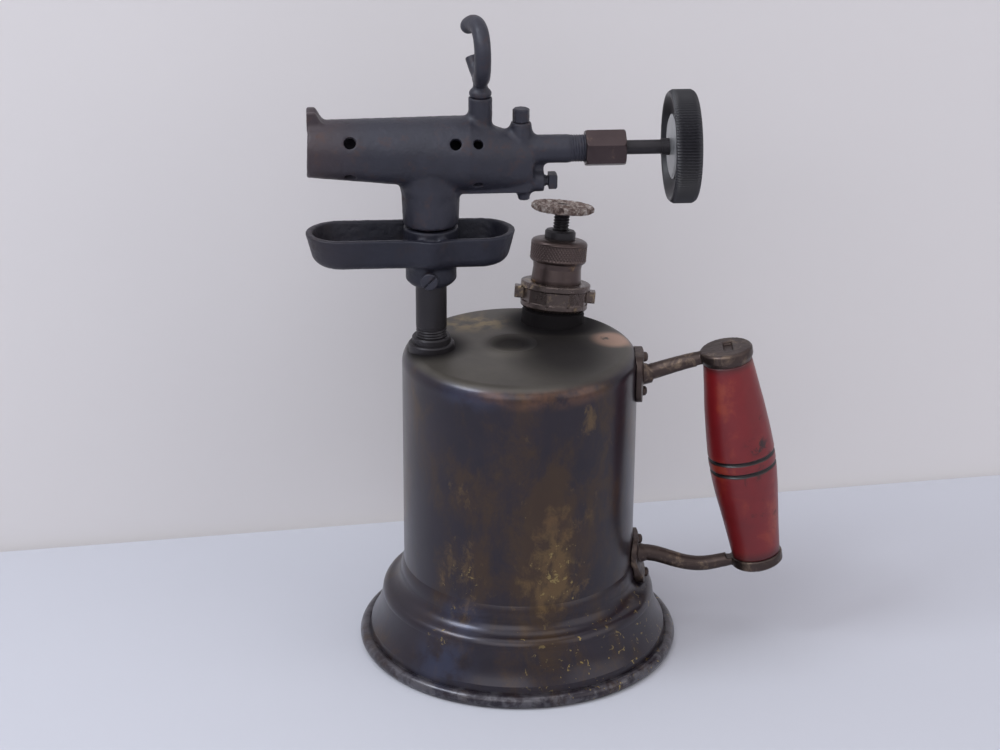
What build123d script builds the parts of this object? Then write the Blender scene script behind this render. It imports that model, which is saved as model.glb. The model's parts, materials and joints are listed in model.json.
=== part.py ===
"""Gasoline blow torch: brass tank with a stepped base, hand pump, wooden side handle,
iron drip pan on a riser pipe, and a cast iron burner with a needle valve.

Millimetres, +Z up. The origin is on the tank axis, in the plane the base ring stands on.
The burner lies along X with its mouth towards -X and its hand wheel towards +X.
"""
import os
from math import cos, radians, sin

from build123d import *

os.makedirs("parts", exist_ok=True)

# Tank
TANK_R = 52.5
SHEET = 1.0
TOP_Z = 143.6
CROWN_Z = 145.0
SHOULDER_R = 6.7
SKIRT_TOP = 40.5
RIM_WIRE_AT = (70.1, 2.7)
RIM_BEAD_R = 3.0
WIRE_R = 2.05
DIMPLE_AT = (-3.6, 0.0)
DIMPLE_R = 11.5
DIMPLE_DEPTH = 1.3

# Filler in the tank bottom
FILLER_R = 12.5
FILLER_LOW = 43.0
FILLER_HIGH = 57.0
PLUG_R = 8.0

# Riser pipe, quarter inch pipe size
POST_X = -39.4
PIPE_R = 6.85
PIPE_BORE = 4.6
PIPE_LOW = 137.0
PIPE_HIGH = 214.0

# Drip pan
PAN_RIM_Z = 199.0
PAN_FLOOR_Z = 184.2
PAN_HUB_Z = 174.6
PAN_WALL = 3.0
PAN_SCREW_Z = 179.6
PAN_SCREW_TURN = -96.0

# Burner
LEG_R = 12.2
LEG_Z = 201.7
MOUTH_X = -92.1
MOUTH_Z = 236.3
MOUTH_R = 12.3
MOUTH_BORE = 9.6
MOUTH_BORE_LONG = 15.0
REAR_X = -23.0
REAR_Z = 233.4
REAR_R = 16.1
CHAMBER_R = 11.6
VALVE_Z = 234.5
VALVE_TUBE_R = 6.2
VALVE_THREAD_R = 5.8
FUEL_Z = 219.6
FUEL_R = 1.6
JET_X = -15.0

# Needle valve and its hand wheel
STEM_R = 3.1
FIT = 0.06
NUT_X = 27.3
NUT_END_X = 44.7
NUT_CORNER_R = 8.5
WHEEL_X = 63.6
WHEEL_THICK = 11.5
WHEEL_R = 24.6
WHEEL_BORE = 2.2

# Hook
HOOK_X = -18.0
HOOK_Z = 258.0
HOOK_RING_Z = 277.9
HOOK_RING_R = 11.75
HOOK_WIRE_R = 3.75

# Hand pump, leaning out from the tank top
PUMP_AT = (17.3, 29.5, 143.0)
PUMP_LEAN = 10.7
PUMP_TURN = 59.6
PUMP_BOSS_R = 14.2
PUMP_NUT_LOW = 6.6
PUMP_NUT_HIGH = 19.0
PUMP_CAP_LOW = 28.2
PUMP_CAP_HIGH = 39.0
PUMP_COLLAR_HIGH = 42.9
PUMP_WHEEL_LOW = 51.2
PUMP_WHEEL_THICK = 3.6
PUMP_WHEEL_R = 14.5
PUMP_ROD_R = 3.75
BARREL_R = 9.4
BARREL_WALL = 0.9
BARREL_END = -72.0
PISTON_LOW = -60.0

# Side handle
HANDLE_TURN = -4.7
HANDLE_TOP = (91.5, 143.5)
HANDLE_LEAN = 10.17
HANDLE_LONG = 108.2
CAP_R = 11.9
UPPER_CAP = 6.2
LOWER_CAP = 5.5
HANDLE_BOLT_R = 2.4
FLANGE_R = 55.2
FLANGE_TALL = 22.0
FLANGE_WIDE = 24.0
UPPER_FLANGE_Z = 130.2
LOWER_FLANGE_Z = 40.0
RIVETS = {138.6: 55.2, 122.2: 55.2, 48.4: 55.2, 31.4: 58.6}


def side_of(frame):
    """The plane that holds a frame's axis: x runs outward, y along the axis."""
    return Plane(origin=frame.origin, x_dir=frame.x_dir, z_dir=-frame.y_dir)


def turn(frame, *points, mode=Mode.ADD):
    """Turn a closed outline of (radius, height) points about a frame's axis."""
    with BuildSketch(side_of(frame)) as outline:
        with BuildLine():
            Polyline(*points, close=True)
        make_face()
    revolve(outline.sketch, axis=Axis(frame.origin, frame.z_dir), mode=mode)


def drum(frame, radius, low, high, mode=Mode.ADD):
    """A plain cylinder on a frame's axis, from one height to another."""
    with BuildSketch(frame.offset(low)) as disc:
        Circle(radius)
    extrude(disc.sketch, amount=high - low, mode=mode)


def ring(frame, outer, inner, low, high, mode=Mode.ADD):
    """A plain tube on a frame's axis."""
    with BuildSketch(frame.offset(low)) as band:
        Circle(outer)
        Circle(inner, mode=Mode.SUBTRACT)
    extrude(band.sketch, amount=high - low, mode=mode)


def upright(x, y=0.0, z=0.0):
    """A frame with its axis straight up."""
    return Plane(origin=(x, y, z))


def along_x(z, y=0.0):
    """A frame with its axis along +X."""
    return Plane(origin=(0, y, z), x_dir=(0, 0, 1), z_dir=(1, 0, 0))


lean = radians(PUMP_LEAN)
azimuth = radians(PUMP_TURN)
PUMP = Plane(
    origin=PUMP_AT,
    x_dir=(cos(lean) * cos(azimuth), cos(lean) * sin(azimuth), -sin(lean)),
    z_dir=(sin(lean) * cos(azimuth), sin(lean) * sin(azimuth), cos(lean)),
)
POST = upright(POST_X)
TANK = upright(0)
VALVE = along_x(VALVE_Z)
FLAME = Plane(
    origin=(REAR_X, 0, REAR_Z),
    x_dir=(0, 1, 0),
    z_dir=(MOUTH_X - REAR_X, 0, MOUTH_Z - REAR_Z),
)
FLAME_LONG = (Vector(MOUTH_X, 0, MOUTH_Z) - Vector(REAR_X, 0, REAR_Z)).length

turned = radians(HANDLE_TURN)
HANDLE_OUT = Vector(cos(turned), sin(turned), 0)
HANDLE_SIDE = Plane(
    origin=(0, 0, 0),
    x_dir=HANDLE_OUT,
    z_dir=(sin(turned), -cos(turned), 0),
)
grip_lean = radians(HANDLE_LEAN)
HANDLE = Plane(
    origin=HANDLE_OUT * HANDLE_TOP[0] + Vector(0, 0, HANDLE_TOP[1]),
    x_dir=HANDLE_OUT * cos(grip_lean) + Vector(0, 0, sin(grip_lean)),
    z_dir=HANDLE_OUT * sin(grip_lean) - Vector(0, 0, cos(grip_lean)),
)



def outward(level):
    """A frame at one height with its axis pointing out through the side handle."""
    return Plane(origin=(0, 0, level), x_dir=(0, 0, 1), z_dir=HANDLE_OUT)


# ---------------------------------------------------------------- tank


def tank_outline(inset):
    """Half outline of the tank sheet, from the crown down to the rim, drawn inset."""
    flat_r = TANK_R - SHOULDER_R
    knee = SHOULDER_R - inset
    centre_z = TOP_Z - SHOULDER_R
    bend = 0.7071 * knee
    ThreePointArc(
        (0, CROWN_Z - inset),
        (flat_r / 2, CROWN_Z - inset - 0.35),
        (flat_r, TOP_Z - inset),
    )
    ThreePointArc(
        (flat_r, TOP_Z - inset),
        (flat_r + bend, centre_z + bend),
        (flat_r + knee, centre_z),
    )
    Line((flat_r + knee, centre_z), (TANK_R - inset, SKIRT_TOP))
    ThreePointArc((TANK_R - inset, SKIRT_TOP), (53.7 - inset, 37.4), (54.0 - inset, 34.0))
    ThreePointArc((54.0 - inset, 34.0), (55.6 - inset, 30.4), (59.0 - inset, 28.2))
    ThreePointArc((59.0 - inset, 28.2), (61.6 - inset, 26.4), (62.4 - inset, 23.4))
    Line((62.4 - inset, 23.4), (62.8 - inset, 21.5))
    ThreePointArc((62.8 - inset, 21.5), (64.6 - inset, 15.0), (67.9 - inset, 8.6))


def tank_wall():
    """Section of the drawn sheet from the crown to the bead that is rolled round the rim wire."""
    rim_r, rim_z = RIM_WIRE_AT
    with BuildSketch(side_of(TANK)) as section:
        with BuildLine():
            tank_outline(0)
            Polyline((67.9, 8.6), (68.5, rim_z + 2.4), (67.4, rim_z + 1.0), (66.9, 8.6))
            tank_outline(SHEET)
            Line((0, CROWN_Z), (0, CROWN_Z - SHEET))
        make_face()
        with Locations((rim_r, rim_z)):
            Circle(RIM_BEAD_R)
        with Locations((rim_r, -RIM_BEAD_R)):
            Rectangle(4 * RIM_BEAD_R, 2 * RIM_BEAD_R, mode=Mode.SUBTRACT)
        with Locations((rim_r, rim_z)):
            Circle(WIRE_R, mode=Mode.SUBTRACT)
    return section.sketch


with BuildPart() as tank_shell:
    revolve(tank_wall(), axis=Axis.Z)
    drum(TANK, 2 * TANK_R, -1, SKIRT_TOP, mode=Mode.SUBTRACT)
    # Shallow round dent in the middle of the top
    dent_ball = (DIMPLE_R**2 + DIMPLE_DEPTH**2) / (2 * DIMPLE_DEPTH)
    dent_top = CROWN_Z - DIMPLE_DEPTH
    drum(upright(*DIMPLE_AT), DIMPLE_R + 1, CROWN_Z - 2.4, CROWN_Z - 1.1)
    with Locations((DIMPLE_AT[0], DIMPLE_AT[1], dent_top + dent_ball)):
        Sphere(dent_ball, mode=Mode.SUBTRACT)
    drum(POST, 10.2, 138, 150, mode=Mode.SUBTRACT)
    drum(PUMP, PUMP_BOSS_R + 0.05, -12, 12, mode=Mode.SUBTRACT)
    for level in RIVETS:
        drum(outward(level), 1.3, 45, 60, mode=Mode.SUBTRACT)
tank_shell.part.label = "tank_shell"
export_step(tank_shell.part, "parts/tank_shell.step")

# Flared skirt that the tank stands on, soldered to the foot of its wall
with BuildPart() as base_skirt:
    revolve(tank_wall(), axis=Axis.Z)
    drum(TANK, 2 * TANK_R, SKIRT_TOP, CROWN_Z + 1, mode=Mode.SUBTRACT)
    for level in RIVETS:
        drum(outward(level), 1.3, 45, 60, mode=Mode.SUBTRACT)
base_skirt.part.label = "base_skirt"
export_step(base_skirt.part, "parts/base_skirt.step")

with BuildPart() as base_rim_wire:
    with Locations((0, 0, RIM_WIRE_AT[1])):
        Torus(RIM_WIRE_AT[0], WIRE_R - 0.03)
base_rim_wire.part.label = "base_rim_wire"
export_step(base_rim_wire.part, "parts/base_rim_wire.step")

with BuildPart() as tank_bottom:
    lip_r = TANK_R - SHEET - 0.02
    turn(
        TANK,
        (lip_r, 38.0),
        (lip_r, 44.0),
        (lip_r - SHEET, 44.0),
        (lip_r - SHEET, 39.4),
        (FILLER_R + 0.02, 51.0),
        (FILLER_R + 0.02, 49.9),
    )
tank_bottom.part.label = "tank_bottom"
export_step(tank_bottom.part, "parts/tank_bottom.step")

with BuildPart() as filler_bushing:
    ring(TANK, FILLER_R, PLUG_R + FIT, FILLER_LOW, FILLER_HIGH)
    chamfer(filler_bushing.faces().sort_by(Axis.Z)[0].edges(), 0.6)
filler_bushing.part.label = "filler_bushing"
export_step(filler_bushing.part, "parts/filler_bushing.step")

with BuildPart() as filler_gasket:
    ring(TANK, FILLER_R - 1, PLUG_R + 0.3, FILLER_LOW - 1.6, FILLER_LOW - 0.02)
filler_gasket.part.label = "filler_gasket"
export_step(filler_gasket.part, "parts/filler_gasket.step")

with BuildPart() as filler_plug:
    drum(TANK, PLUG_R, FILLER_LOW - 2, FILLER_HIGH - 3)
    drum(TANK, FILLER_R - 0.5, FILLER_LOW - 5.6, FILLER_LOW - 1.64)
    with BuildSketch(Plane.XY.offset(FILLER_LOW - 9.5)) as plug_head:
        RegularPolygon(FILLER_R - 3.5, 6)
    extrude(amount=5)
    with BuildSketch(Plane.XY.offset(FILLER_LOW - 10)) as plug_slot:
        Rectangle(30, 1.8)
    extrude(amount=2.5, mode=Mode.SUBTRACT)
filler_plug.part.label = "filler_plug"
export_step(filler_plug.part, "parts/filler_plug.step")

# ---------------------------------------------------------------- riser pipe

with BuildPart() as post_bushing:
    turn(
        POST,
        (PIPE_R + 0.02, 136.0),
        (10.15, 136.0),
        (10.15, 146.2),
        (9.6, 146.8),
        (8.6, 147.0),
        (8.6, 149.2),
        (8.0, 149.9),
        (PIPE_R + 0.02, 149.9),
    )
    ring(POST, 11.2, 10.1, 137.5, 139.3)
post_bushing.part.label = "post_bushing"
export_step(post_bushing.part, "parts/post_bushing.step")

with BuildPart() as post_pipe:
    ring(POST, PIPE_R, PIPE_BORE, PIPE_LOW, PIPE_HIGH)
post_pipe.part.label = "post_pipe"
export_step(post_pipe.part, "parts/post_pipe.step")

with BuildPart() as fuel_tube:
    ring(POST, PIPE_BORE - 0.03, PIPE_BORE - 0.8, 50.0, PIPE_LOW + 12)
fuel_tube.part.label = "fuel_tube"
export_step(fuel_tube.part, "parts/fuel_tube.step")

with BuildPart() as wick:
    drum(POST, PIPE_BORE - 1.1, 47.5, PIPE_HIGH - 14)
    fillet(wick.edges(), 0.8)
wick.part.label = "wick"
export_step(wick.part, "parts/wick.step")

# ---------------------------------------------------------------- drip pan


def tray_outline(level, left, right, half, bow):
    """Long outline with round ends and a bow in each side, at one height."""
    with BuildSketch(Plane.XY.offset(level)) as outline:
        with BuildLine():
            for side in (-1, 1):
                Line((left + half, side * half), (POST_X - 13, side * half))
                Spline(
                    (POST_X - 13, side * half),
                    (POST_X, side * (half + bow)),
                    (POST_X + 13, side * half),
                    tangents=((1, 0), (1, 0)),
                )
                Line((POST_X + 13, side * half), (right - half, side * half))
            for end, out in ((left, -1), (right, 1)):
                ThreePointArc(
                    (end - out * half, -half),
                    (end, 0),
                    (end - out * half, half),
                )
        make_face()
    return outline.sketch


PAN_LEFT = -94.0
PAN_RIGHT = -2.5
PAN_HALF = 15.4
PAN_BOW = 3.4
PAN_SLOPE = 3.8

with BuildPart() as drip_pan:
    loft(
        [
            tray_outline(PAN_FLOOR_Z, PAN_LEFT + PAN_SLOPE, PAN_RIGHT - PAN_SLOPE, 12.8, 2.4),
            tray_outline(PAN_RIM_Z, PAN_LEFT, PAN_RIGHT, PAN_HALF, PAN_BOW),
        ],
        ruled=True,
    )
    fillet(drip_pan.faces().sort_by(Axis.Z)[0].edges(), 6.4)
    loft(
        [
            tray_outline(PAN_FLOOR_Z + PAN_WALL, PAN_LEFT + 7.4, PAN_RIGHT - 7.4, 9.8, 2.0),
            tray_outline(
                PAN_RIM_Z + 0.01,
                PAN_LEFT + PAN_WALL,
                PAN_RIGHT - PAN_WALL,
                PAN_HALF - PAN_WALL,
                PAN_BOW,
            ),
        ],
        ruled=True,
        mode=Mode.SUBTRACT,
    )
    turn(
        POST,
        (0, PAN_HUB_Z),
        (9.2, PAN_HUB_Z),
        (11.2, PAN_HUB_Z + 2.2),
        (11.2, PAN_FLOOR_Z + 1),
        (12.0, PAN_FLOOR_Z + 4),
        (12.0, PAN_RIM_Z + 1.4),
        (11.4, PAN_RIM_Z + 2.0),
        (0, PAN_RIM_Z + 2.0),
    )
    drum(POST, PIPE_R + FIT, PAN_HUB_Z - 1, PAN_RIM_Z + 3, mode=Mode.SUBTRACT)
    screw_way = radians(PAN_SCREW_TURN)
    PAN_SCREW = Plane(
        origin=(POST_X, 0, PAN_SCREW_Z),
        x_dir=(0, 0, 1),
        z_dir=(cos(screw_way), sin(screw_way), 0),
    )
    drum(PAN_SCREW, 3.6, 9.0, 11.6)
    drum(PAN_SCREW, 1.95, 5.0, 15.0, mode=Mode.SUBTRACT)
drip_pan.part.label = "drip_pan"
export_step(drip_pan.part, "parts/drip_pan.step")

with BuildPart() as pan_set_screw:
    drum(PAN_SCREW, 1.9, PIPE_R + 0.05, 12.2)
    drum(PAN_SCREW, 3.8, 12.0, 14.6)
    fillet(pan_set_screw.faces().sort_by(Axis(PAN_SCREW.origin, PAN_SCREW.z_dir))[-1].edges(), 0.7)
    with BuildSketch(PAN_SCREW.offset(13.4)) as screw_slot:
        with Locations(Rotation(0, 0, -44)):
            Rectangle(10, 1.0)
    extrude(amount=3, mode=Mode.SUBTRACT)
pan_set_screw.part.label = "pan_set_screw"
export_step(pan_set_screw.part, "parts/pan_set_screw.step")

# ---------------------------------------------------------------- burner

with BuildPart() as burner_casting:
    # Leg over the riser pipe
    turn(
        POST,
        (0, LEG_Z),
        (LEG_R - 0.8, LEG_Z),
        (LEG_R, LEG_Z + 0.8),
        (LEG_R + 0.5, 215.0),
        (LEG_R + 1.0, 218.0),
        (LEG_R + 1.0, 226.0),
        (0, 226.0),
    )
    # Flame tube, wider towards the rear
    turn(
        FLAME,
        (0, -2.0),
        (REAR_R - 1.4, -2.0),
        (REAR_R, 0),
        (MOUTH_R, FLAME_LONG),
        (0, FLAME_LONG),
    )
    # Rear bulb narrowing into the valve block
    with BuildSketch(Plane(origin=(REAR_X + 1, 0, 0), x_dir=(0, 1, 0), z_dir=(1, 0, 0))) as wide:
        with Locations((0, REAR_Z)):
            Ellipse(REAR_R - 0.4, REAR_R - 0.4)
    with BuildSketch(Plane(origin=(-9, 0, 0), x_dir=(0, 1, 0), z_dir=(1, 0, 0))) as neck:
        with Locations((0, 230.6)):
            Ellipse(11.4, 13.4)
    with BuildSketch(Plane(origin=(4.5, 0, 0), x_dir=(0, 1, 0), z_dir=(1, 0, 0))) as tail:
        with Locations((0, 229.0)):
            Ellipse(7.2, 11.4)
    loft()
    # Flat-bottomed rib from the leg to the rear boss, holding the fuel passage
    with BuildSketch(Plane.XY.offset(216.4)) as rib:
        with Locations((-15.0, 0)):
            Rectangle(36.0, 11.0)
    extrude(amount=9.0)
    # Valve tube with its thread
    drum(VALVE, VALVE_TUBE_R, -4.0, 20.4)
    drum(VALVE, VALVE_THREAD_R, 20.0, 37.0)
    # Boss for the hook, boss for the top plug, rear boss, bottom stub
    drum(upright(HOOK_X), 5.2, 240.0, HOOK_Z)
    turn(upright(-0.5), (0, 236.0), (6.4, 236.0), (4.4, 246.8), (0, 246.8))
    drum(along_x(220.3), 4.8, -6.0, 9.7)
    turn(upright(1.0), (0, 220.0), (5.0, 220.0), (2.7, 214.6), (2.7, 211.9), (0, 211.9))
    # Notched rest over the mouth
    with BuildSketch(Plane.XZ) as rest_side:
        with BuildLine():
            Polyline(
                (MOUTH_X, 244.0),
                (MOUTH_X, 253.4),
                (MOUTH_X + 3.8, 253.4),
                (MOUTH_X + 6.2, 249.2),
                (MOUTH_X + 7.0, 244.0),
                close=True,
            )
        make_face()
    extrude(amount=5.4, both=True)
    with BuildSketch(Plane(origin=(MOUTH_X - 1, 0, 0), x_dir=(0, 1, 0), z_dir=(1, 0, 0))) as notch:
        with BuildLine():
            Polyline((0, 250.2), (3.8, 256.0), (-3.8, 256.0), close=True)
        make_face()
    extrude(amount=14.0, mode=Mode.SUBTRACT)
    # Hollow of the flame tube
    bore_end = FLAME_LONG - MOUTH_BORE_LONG
    turn(
        FLAME,
        (0, JET_X * -1 - 23.0 + 0.6),
        (CHAMBER_R - 2.5, JET_X * -1 - 23.0 + 0.6),
        (CHAMBER_R, -4.6),
        (CHAMBER_R, 6.0),
        (MOUTH_BORE, bore_end),
        (MOUTH_BORE, FLAME_LONG + 4),
        (0, FLAME_LONG + 4),
        mode=Mode.SUBTRACT,
    )
    # Air holes, in rings round the flame tube
    for hole_x, hole_r, ways in (
        (-74.0, 2.5, (29, 151, 230, 310)),
        (-29.3, 2.4, (29, 151)),
        (-19.6, 2.05, (31, 149, 230, 310)),
    ):
        centre_z = REAR_Z + (hole_x - REAR_X) * (MOUTH_Z - REAR_Z) / (MOUTH_X - REAR_X)
        for way in ways:
            out = (0, cos(radians(way)), sin(radians(way)))
            air = Plane(origin=(hole_x, 0, centre_z), x_dir=(1, 0, 0), z_dir=out)
            drum(air, hole_r, 6.0, 20.0, mode=Mode.SUBTRACT)
    # Pipe thread, fuel passages, needle bore and jet seat
    drum(POST, PIPE_R + 0.02, LEG_Z - 1, PIPE_HIGH + 0.3, mode=Mode.SUBTRACT)
    drum(POST, FUEL_R, PIPE_HIGH, FUEL_Z, mode=Mode.SUBTRACT)
    drum(along_x(FUEL_Z), FUEL_R, POST_X, 12.0, mode=Mode.SUBTRACT)
    drum(along_x(220.3), 2.6, 3.0, 12.0, mode=Mode.SUBTRACT)
    drum(upright(1.0), 1.3, 210.0, VALVE_Z, mode=Mode.SUBTRACT)
    drum(upright(-0.5), 1.3, VALVE_Z, 250.0, mode=Mode.SUBTRACT)
    drum(upright(-0.5), 2.1, 241.0, 250.0, mode=Mode.SUBTRACT)
    drum(VALVE, 1.5, -10.0, 3.0, mode=Mode.SUBTRACT)
    drum(VALVE, STEM_R + FIT, 2.0, 40.0, mode=Mode.SUBTRACT)
    drum(VALVE, 3.0, -17.0, -6.0, mode=Mode.SUBTRACT)
    drum(upright(HOOK_X), 2.6, 249.5, HOOK_Z + 1, mode=Mode.SUBTRACT)
burner_casting.part.label = "burner_casting"
export_step(burner_casting.part, "parts/burner_casting.step")

with BuildPart() as jet_orifice:
    turn(
        VALVE,
        (0.4, -16.4),
        (1.6, -16.4),
        (2.9, -14.6),
        (2.9, -6.1),
        (0.9, -6.1),
        (0.9, -12.0),
        (0.4, -13.0),
    )
jet_orifice.part.label = "jet_orifice"
export_step(jet_orifice.part, "parts/jet_orifice.step")

with BuildPart() as top_cleanout_plug:
    drum(upright(-0.5), 2.05, 241.5, 247.4)
    with BuildSketch(Plane.XY.offset(246.85)) as top_head:
        with Locations((-0.5, 0)):
            RegularPolygon(3.7, 8)
    extrude(amount=5.9)
    chamfer(top_cleanout_plug.faces().sort_by(Axis.Z)[-1].edges(), 0.5)
top_cleanout_plug.part.label = "top_cleanout_plug"
export_step(top_cleanout_plug.part, "parts/top_cleanout_plug.step")

with BuildPart() as rear_cleanout_plug:
    rear_plug = along_x(220.3)
    drum(rear_plug, 2.55, 4.0, 10.4)
    drum(rear_plug, 2.2, 9.75, 11.8)
    with BuildSketch(rear_plug.offset(11.5)) as rear_head:
        Rectangle(6.3, 6.3)
    extrude(amount=3.9)
    chamfer(rear_cleanout_plug.faces().sort_by(Axis.X)[-1].edges(), 0.6)
rear_cleanout_plug.part.label = "rear_cleanout_plug"
export_step(rear_cleanout_plug.part, "parts/rear_cleanout_plug.step")

with BuildPart() as bottom_plug:
    drum(upright(1.0), 1.27, 212.3, 216.5)
bottom_plug.part.label = "bottom_plug"
export_step(bottom_plug.part, "parts/bottom_plug.step")

# ---------------------------------------------------------------- needle valve

with BuildPart() as valve_packing:
    for start in (37.1, 38.7, 40.3):
        turn(
            VALVE,
            (STEM_R + 0.03, start + 0.3),
            (STEM_R + 0.4, start),
            (5.0, start),
            (5.4, start + 0.4),
            (5.4, start + 1.1),
            (5.0, start + 1.5),
            (STEM_R + 0.4, start + 1.5),
            (STEM_R + 0.03, start + 1.2),
        )
valve_packing.part.label = "valve_packing"
export_step(valve_packing.part, "parts/valve_packing.step")

with BuildPart() as packing_gland:
    ring(VALVE, 5.4, STEM_R + FIT, 41.85, 42.7)
packing_gland.part.label = "packing_gland"
export_step(packing_gland.part, "parts/packing_gland.step")

with BuildPart() as packing_nut:
    with BuildSketch(VALVE.offset(NUT_X)) as hexagon:
        RegularPolygon(NUT_CORNER_R, 6, rotation=8)
    extrude(amount=NUT_END_X - NUT_X)
    turn(
        VALVE,
        (0, NUT_X - 1),
        (NUT_CORNER_R - 1.4, NUT_X - 1),
        (NUT_CORNER_R - 0.9, NUT_X),
        (NUT_CORNER_R + 0.1, NUT_X + 1.1),
        (NUT_CORNER_R + 0.1, NUT_END_X - 1.1),
        (NUT_CORNER_R - 0.9, NUT_END_X),
        (NUT_CORNER_R - 1.4, NUT_END_X + 1),
        (0, NUT_END_X + 1),
        mode=Mode.INTERSECT,
    )
    drum(VALVE, VALVE_THREAD_R + 0.03, NUT_X - 1, 42.75, mode=Mode.SUBTRACT)
    drum(VALVE, STEM_R + FIT, NUT_X - 1, NUT_END_X + 1, mode=Mode.SUBTRACT)
packing_nut.part.label = "packing_nut"
export_step(packing_nut.part, "parts/packing_nut.step")

with BuildPart() as valve_needle:
    turn(
        VALVE,
        (0, -10.0),
        (0.75, -8.4),
        (0.75, 5.9),
        (1.2, 5.9),
        (1.2, 9.5),
        (0, 9.5),
    )
valve_needle.part.label = "valve_needle"
export_step(valve_needle.part, "parts/valve_needle.step")

with BuildPart() as valve_stem:
    turn(
        VALVE,
        (0, 9.8),
        (1.5, 9.8),
        (1.5, 6.4),
        (STEM_R, 6.4),
        (STEM_R, 60.4),
        (STEM_R + 0.6, 60.4),
        (STEM_R + 0.6, WHEEL_X + 0.25),
        (WHEEL_BORE - 0.02, WHEEL_X + 0.25),
        (WHEEL_BORE - 0.02, WHEEL_X + WHEEL_THICK + 3.4),
        (0, WHEEL_X + WHEEL_THICK + 3.4),
    )
valve_stem.part.label = "valve_stem"
export_step(valve_stem.part, "parts/valve_stem.step")

with BuildPart() as valve_wheel:
    back = WHEEL_X
    face = WHEEL_X + WHEEL_THICK
    turn(
        VALVE,
        (WHEEL_BORE, back + 2.65),
        (9.6, back + 2.65),
        (10.6, back + 5.2),
        (15.0, back + 5.2),
        (18.8, back + 4.6),
        (21.8, back + 0.4),
        (22.2, back),
        (WHEEL_R - 1.4, back),
        (WHEEL_R, back + 1.6),
        (WHEEL_R, face - 1.6),
        (WHEEL_R - 1.4, face),
        (21.0, face),
        (18.5, face - 2.0),
        (7.0, face - 2.6),
        (6.0, face - 1.2),
        (WHEEL_BORE, face - 1.2),
    )
valve_wheel.part.label = "valve_wheel"
export_step(valve_wheel.part, "parts/valve_wheel.step")

with BuildPart() as wheel_disc:
    turn(
        VALVE,
        (WHEEL_BORE + 0.05, WHEEL_X + 0.3),
        (5.2, WHEEL_X + 0.3),
        (12.6, WHEEL_X + 0.9),
        (14.0, WHEEL_X + 1.5),
        (14.0, WHEEL_X + 2.6),
        (WHEEL_BORE + 0.05, WHEEL_X + 2.6),
    )
wheel_disc.part.label = "wheel_disc"
export_step(wheel_disc.part, "parts/wheel_disc.step")

with BuildPart() as wheel_nut:
    with BuildSketch(VALVE.offset(WHEEL_X + WHEEL_THICK - 1.15)) as nut_flats:
        RegularPolygon(4.6, 6)
        Circle(WHEEL_BORE + 0.02, mode=Mode.SUBTRACT)
    extrude(amount=3.0)
wheel_nut.part.label = "wheel_nut"
export_step(wheel_nut.part, "parts/wheel_nut.step")

# ---------------------------------------------------------------- hook

with BuildPart() as iron_hook:
    hook = upright(HOOK_X)
    turn(
        hook,
        (0, 250.2),
        (2.55, 250.2),
        (2.55, HOOK_Z + 0.02),
        (4.3, HOOK_Z + 0.02),
        (4.85, HOOK_Z + 0.9),
        (4.85, HOOK_Z + 2.2),
        (4.2, HOOK_Z + 3.2),
        (3.3, HOOK_Z + 4.0),
        (3.1, HOOK_Z + 6.2),
        (3.5, HOOK_Z + 8.4),
        (0, HOOK_Z + 10.4),
    )
    ring_low = HOOK_RING_Z - HOOK_RING_R
    with BuildLine() as near_arm:
        Spline(
            (HOOK_X, 1.5, ring_low - 0.2),
            (HOOK_X + 0.2, -7.6, HOOK_RING_Z - 8.6),
            (HOOK_X + 0.2, -HOOK_RING_R, HOOK_RING_Z + 0.6),
            (HOOK_X - 0.4, -7.8, HOOK_RING_Z + 9.0),
            (HOOK_X - 2.0, 0.0, HOOK_RING_Z + 11.75),
            (HOOK_X - 4.6, 6.8, HOOK_RING_Z + 9.4),
        )
    with BuildSketch(Plane(near_arm.line @ 0, z_dir=near_arm.line % 0)) as arm_section:
        Circle(HOOK_WIRE_R - 0.15)
    sweep(path=near_arm.line)
    with Locations(Location(near_arm.line @ 1)):
        Sphere(HOOK_WIRE_R - 0.2)
    with BuildLine() as far_prong:
        Spline(
            (HOOK_X, -1.0, ring_low - 0.2),
            (HOOK_X - 1.4, 6.4, ring_low + 2.2),
            (HOOK_X - 3.0, 10.6, HOOK_RING_Z - 4.9),
        )
    with BuildSketch(Plane(far_prong.line @ 0, z_dir=far_prong.line % 0)) as prong_section:
        Circle(3.0)
    sweep(path=far_prong.line)
iron_hook.part.label = "iron_hook"
export_step(iron_hook.part, "parts/iron_hook.step")

# ---------------------------------------------------------------- hand pump

with BuildPart() as pump_boss:
    turn(
        PUMP,
        (BARREL_R + 0.3, -9.0),
        (PUMP_BOSS_R, -9.0),
        (PUMP_BOSS_R, 5.4),
        (13.0, 6.2),
        (13.0, 8.0),
        (BARREL_R + 0.3, 8.0),
    )
pump_boss.part.label = "pump_boss"
export_step(pump_boss.part, "parts/pump_boss.step")

with BuildPart() as pump_gasket:
    ring(PUMP, 12.9, BARREL_R + 0.3, 8.02, 9.4)
pump_gasket.part.label = "pump_gasket"
export_step(pump_gasket.part, "parts/pump_gasket.step")

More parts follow.
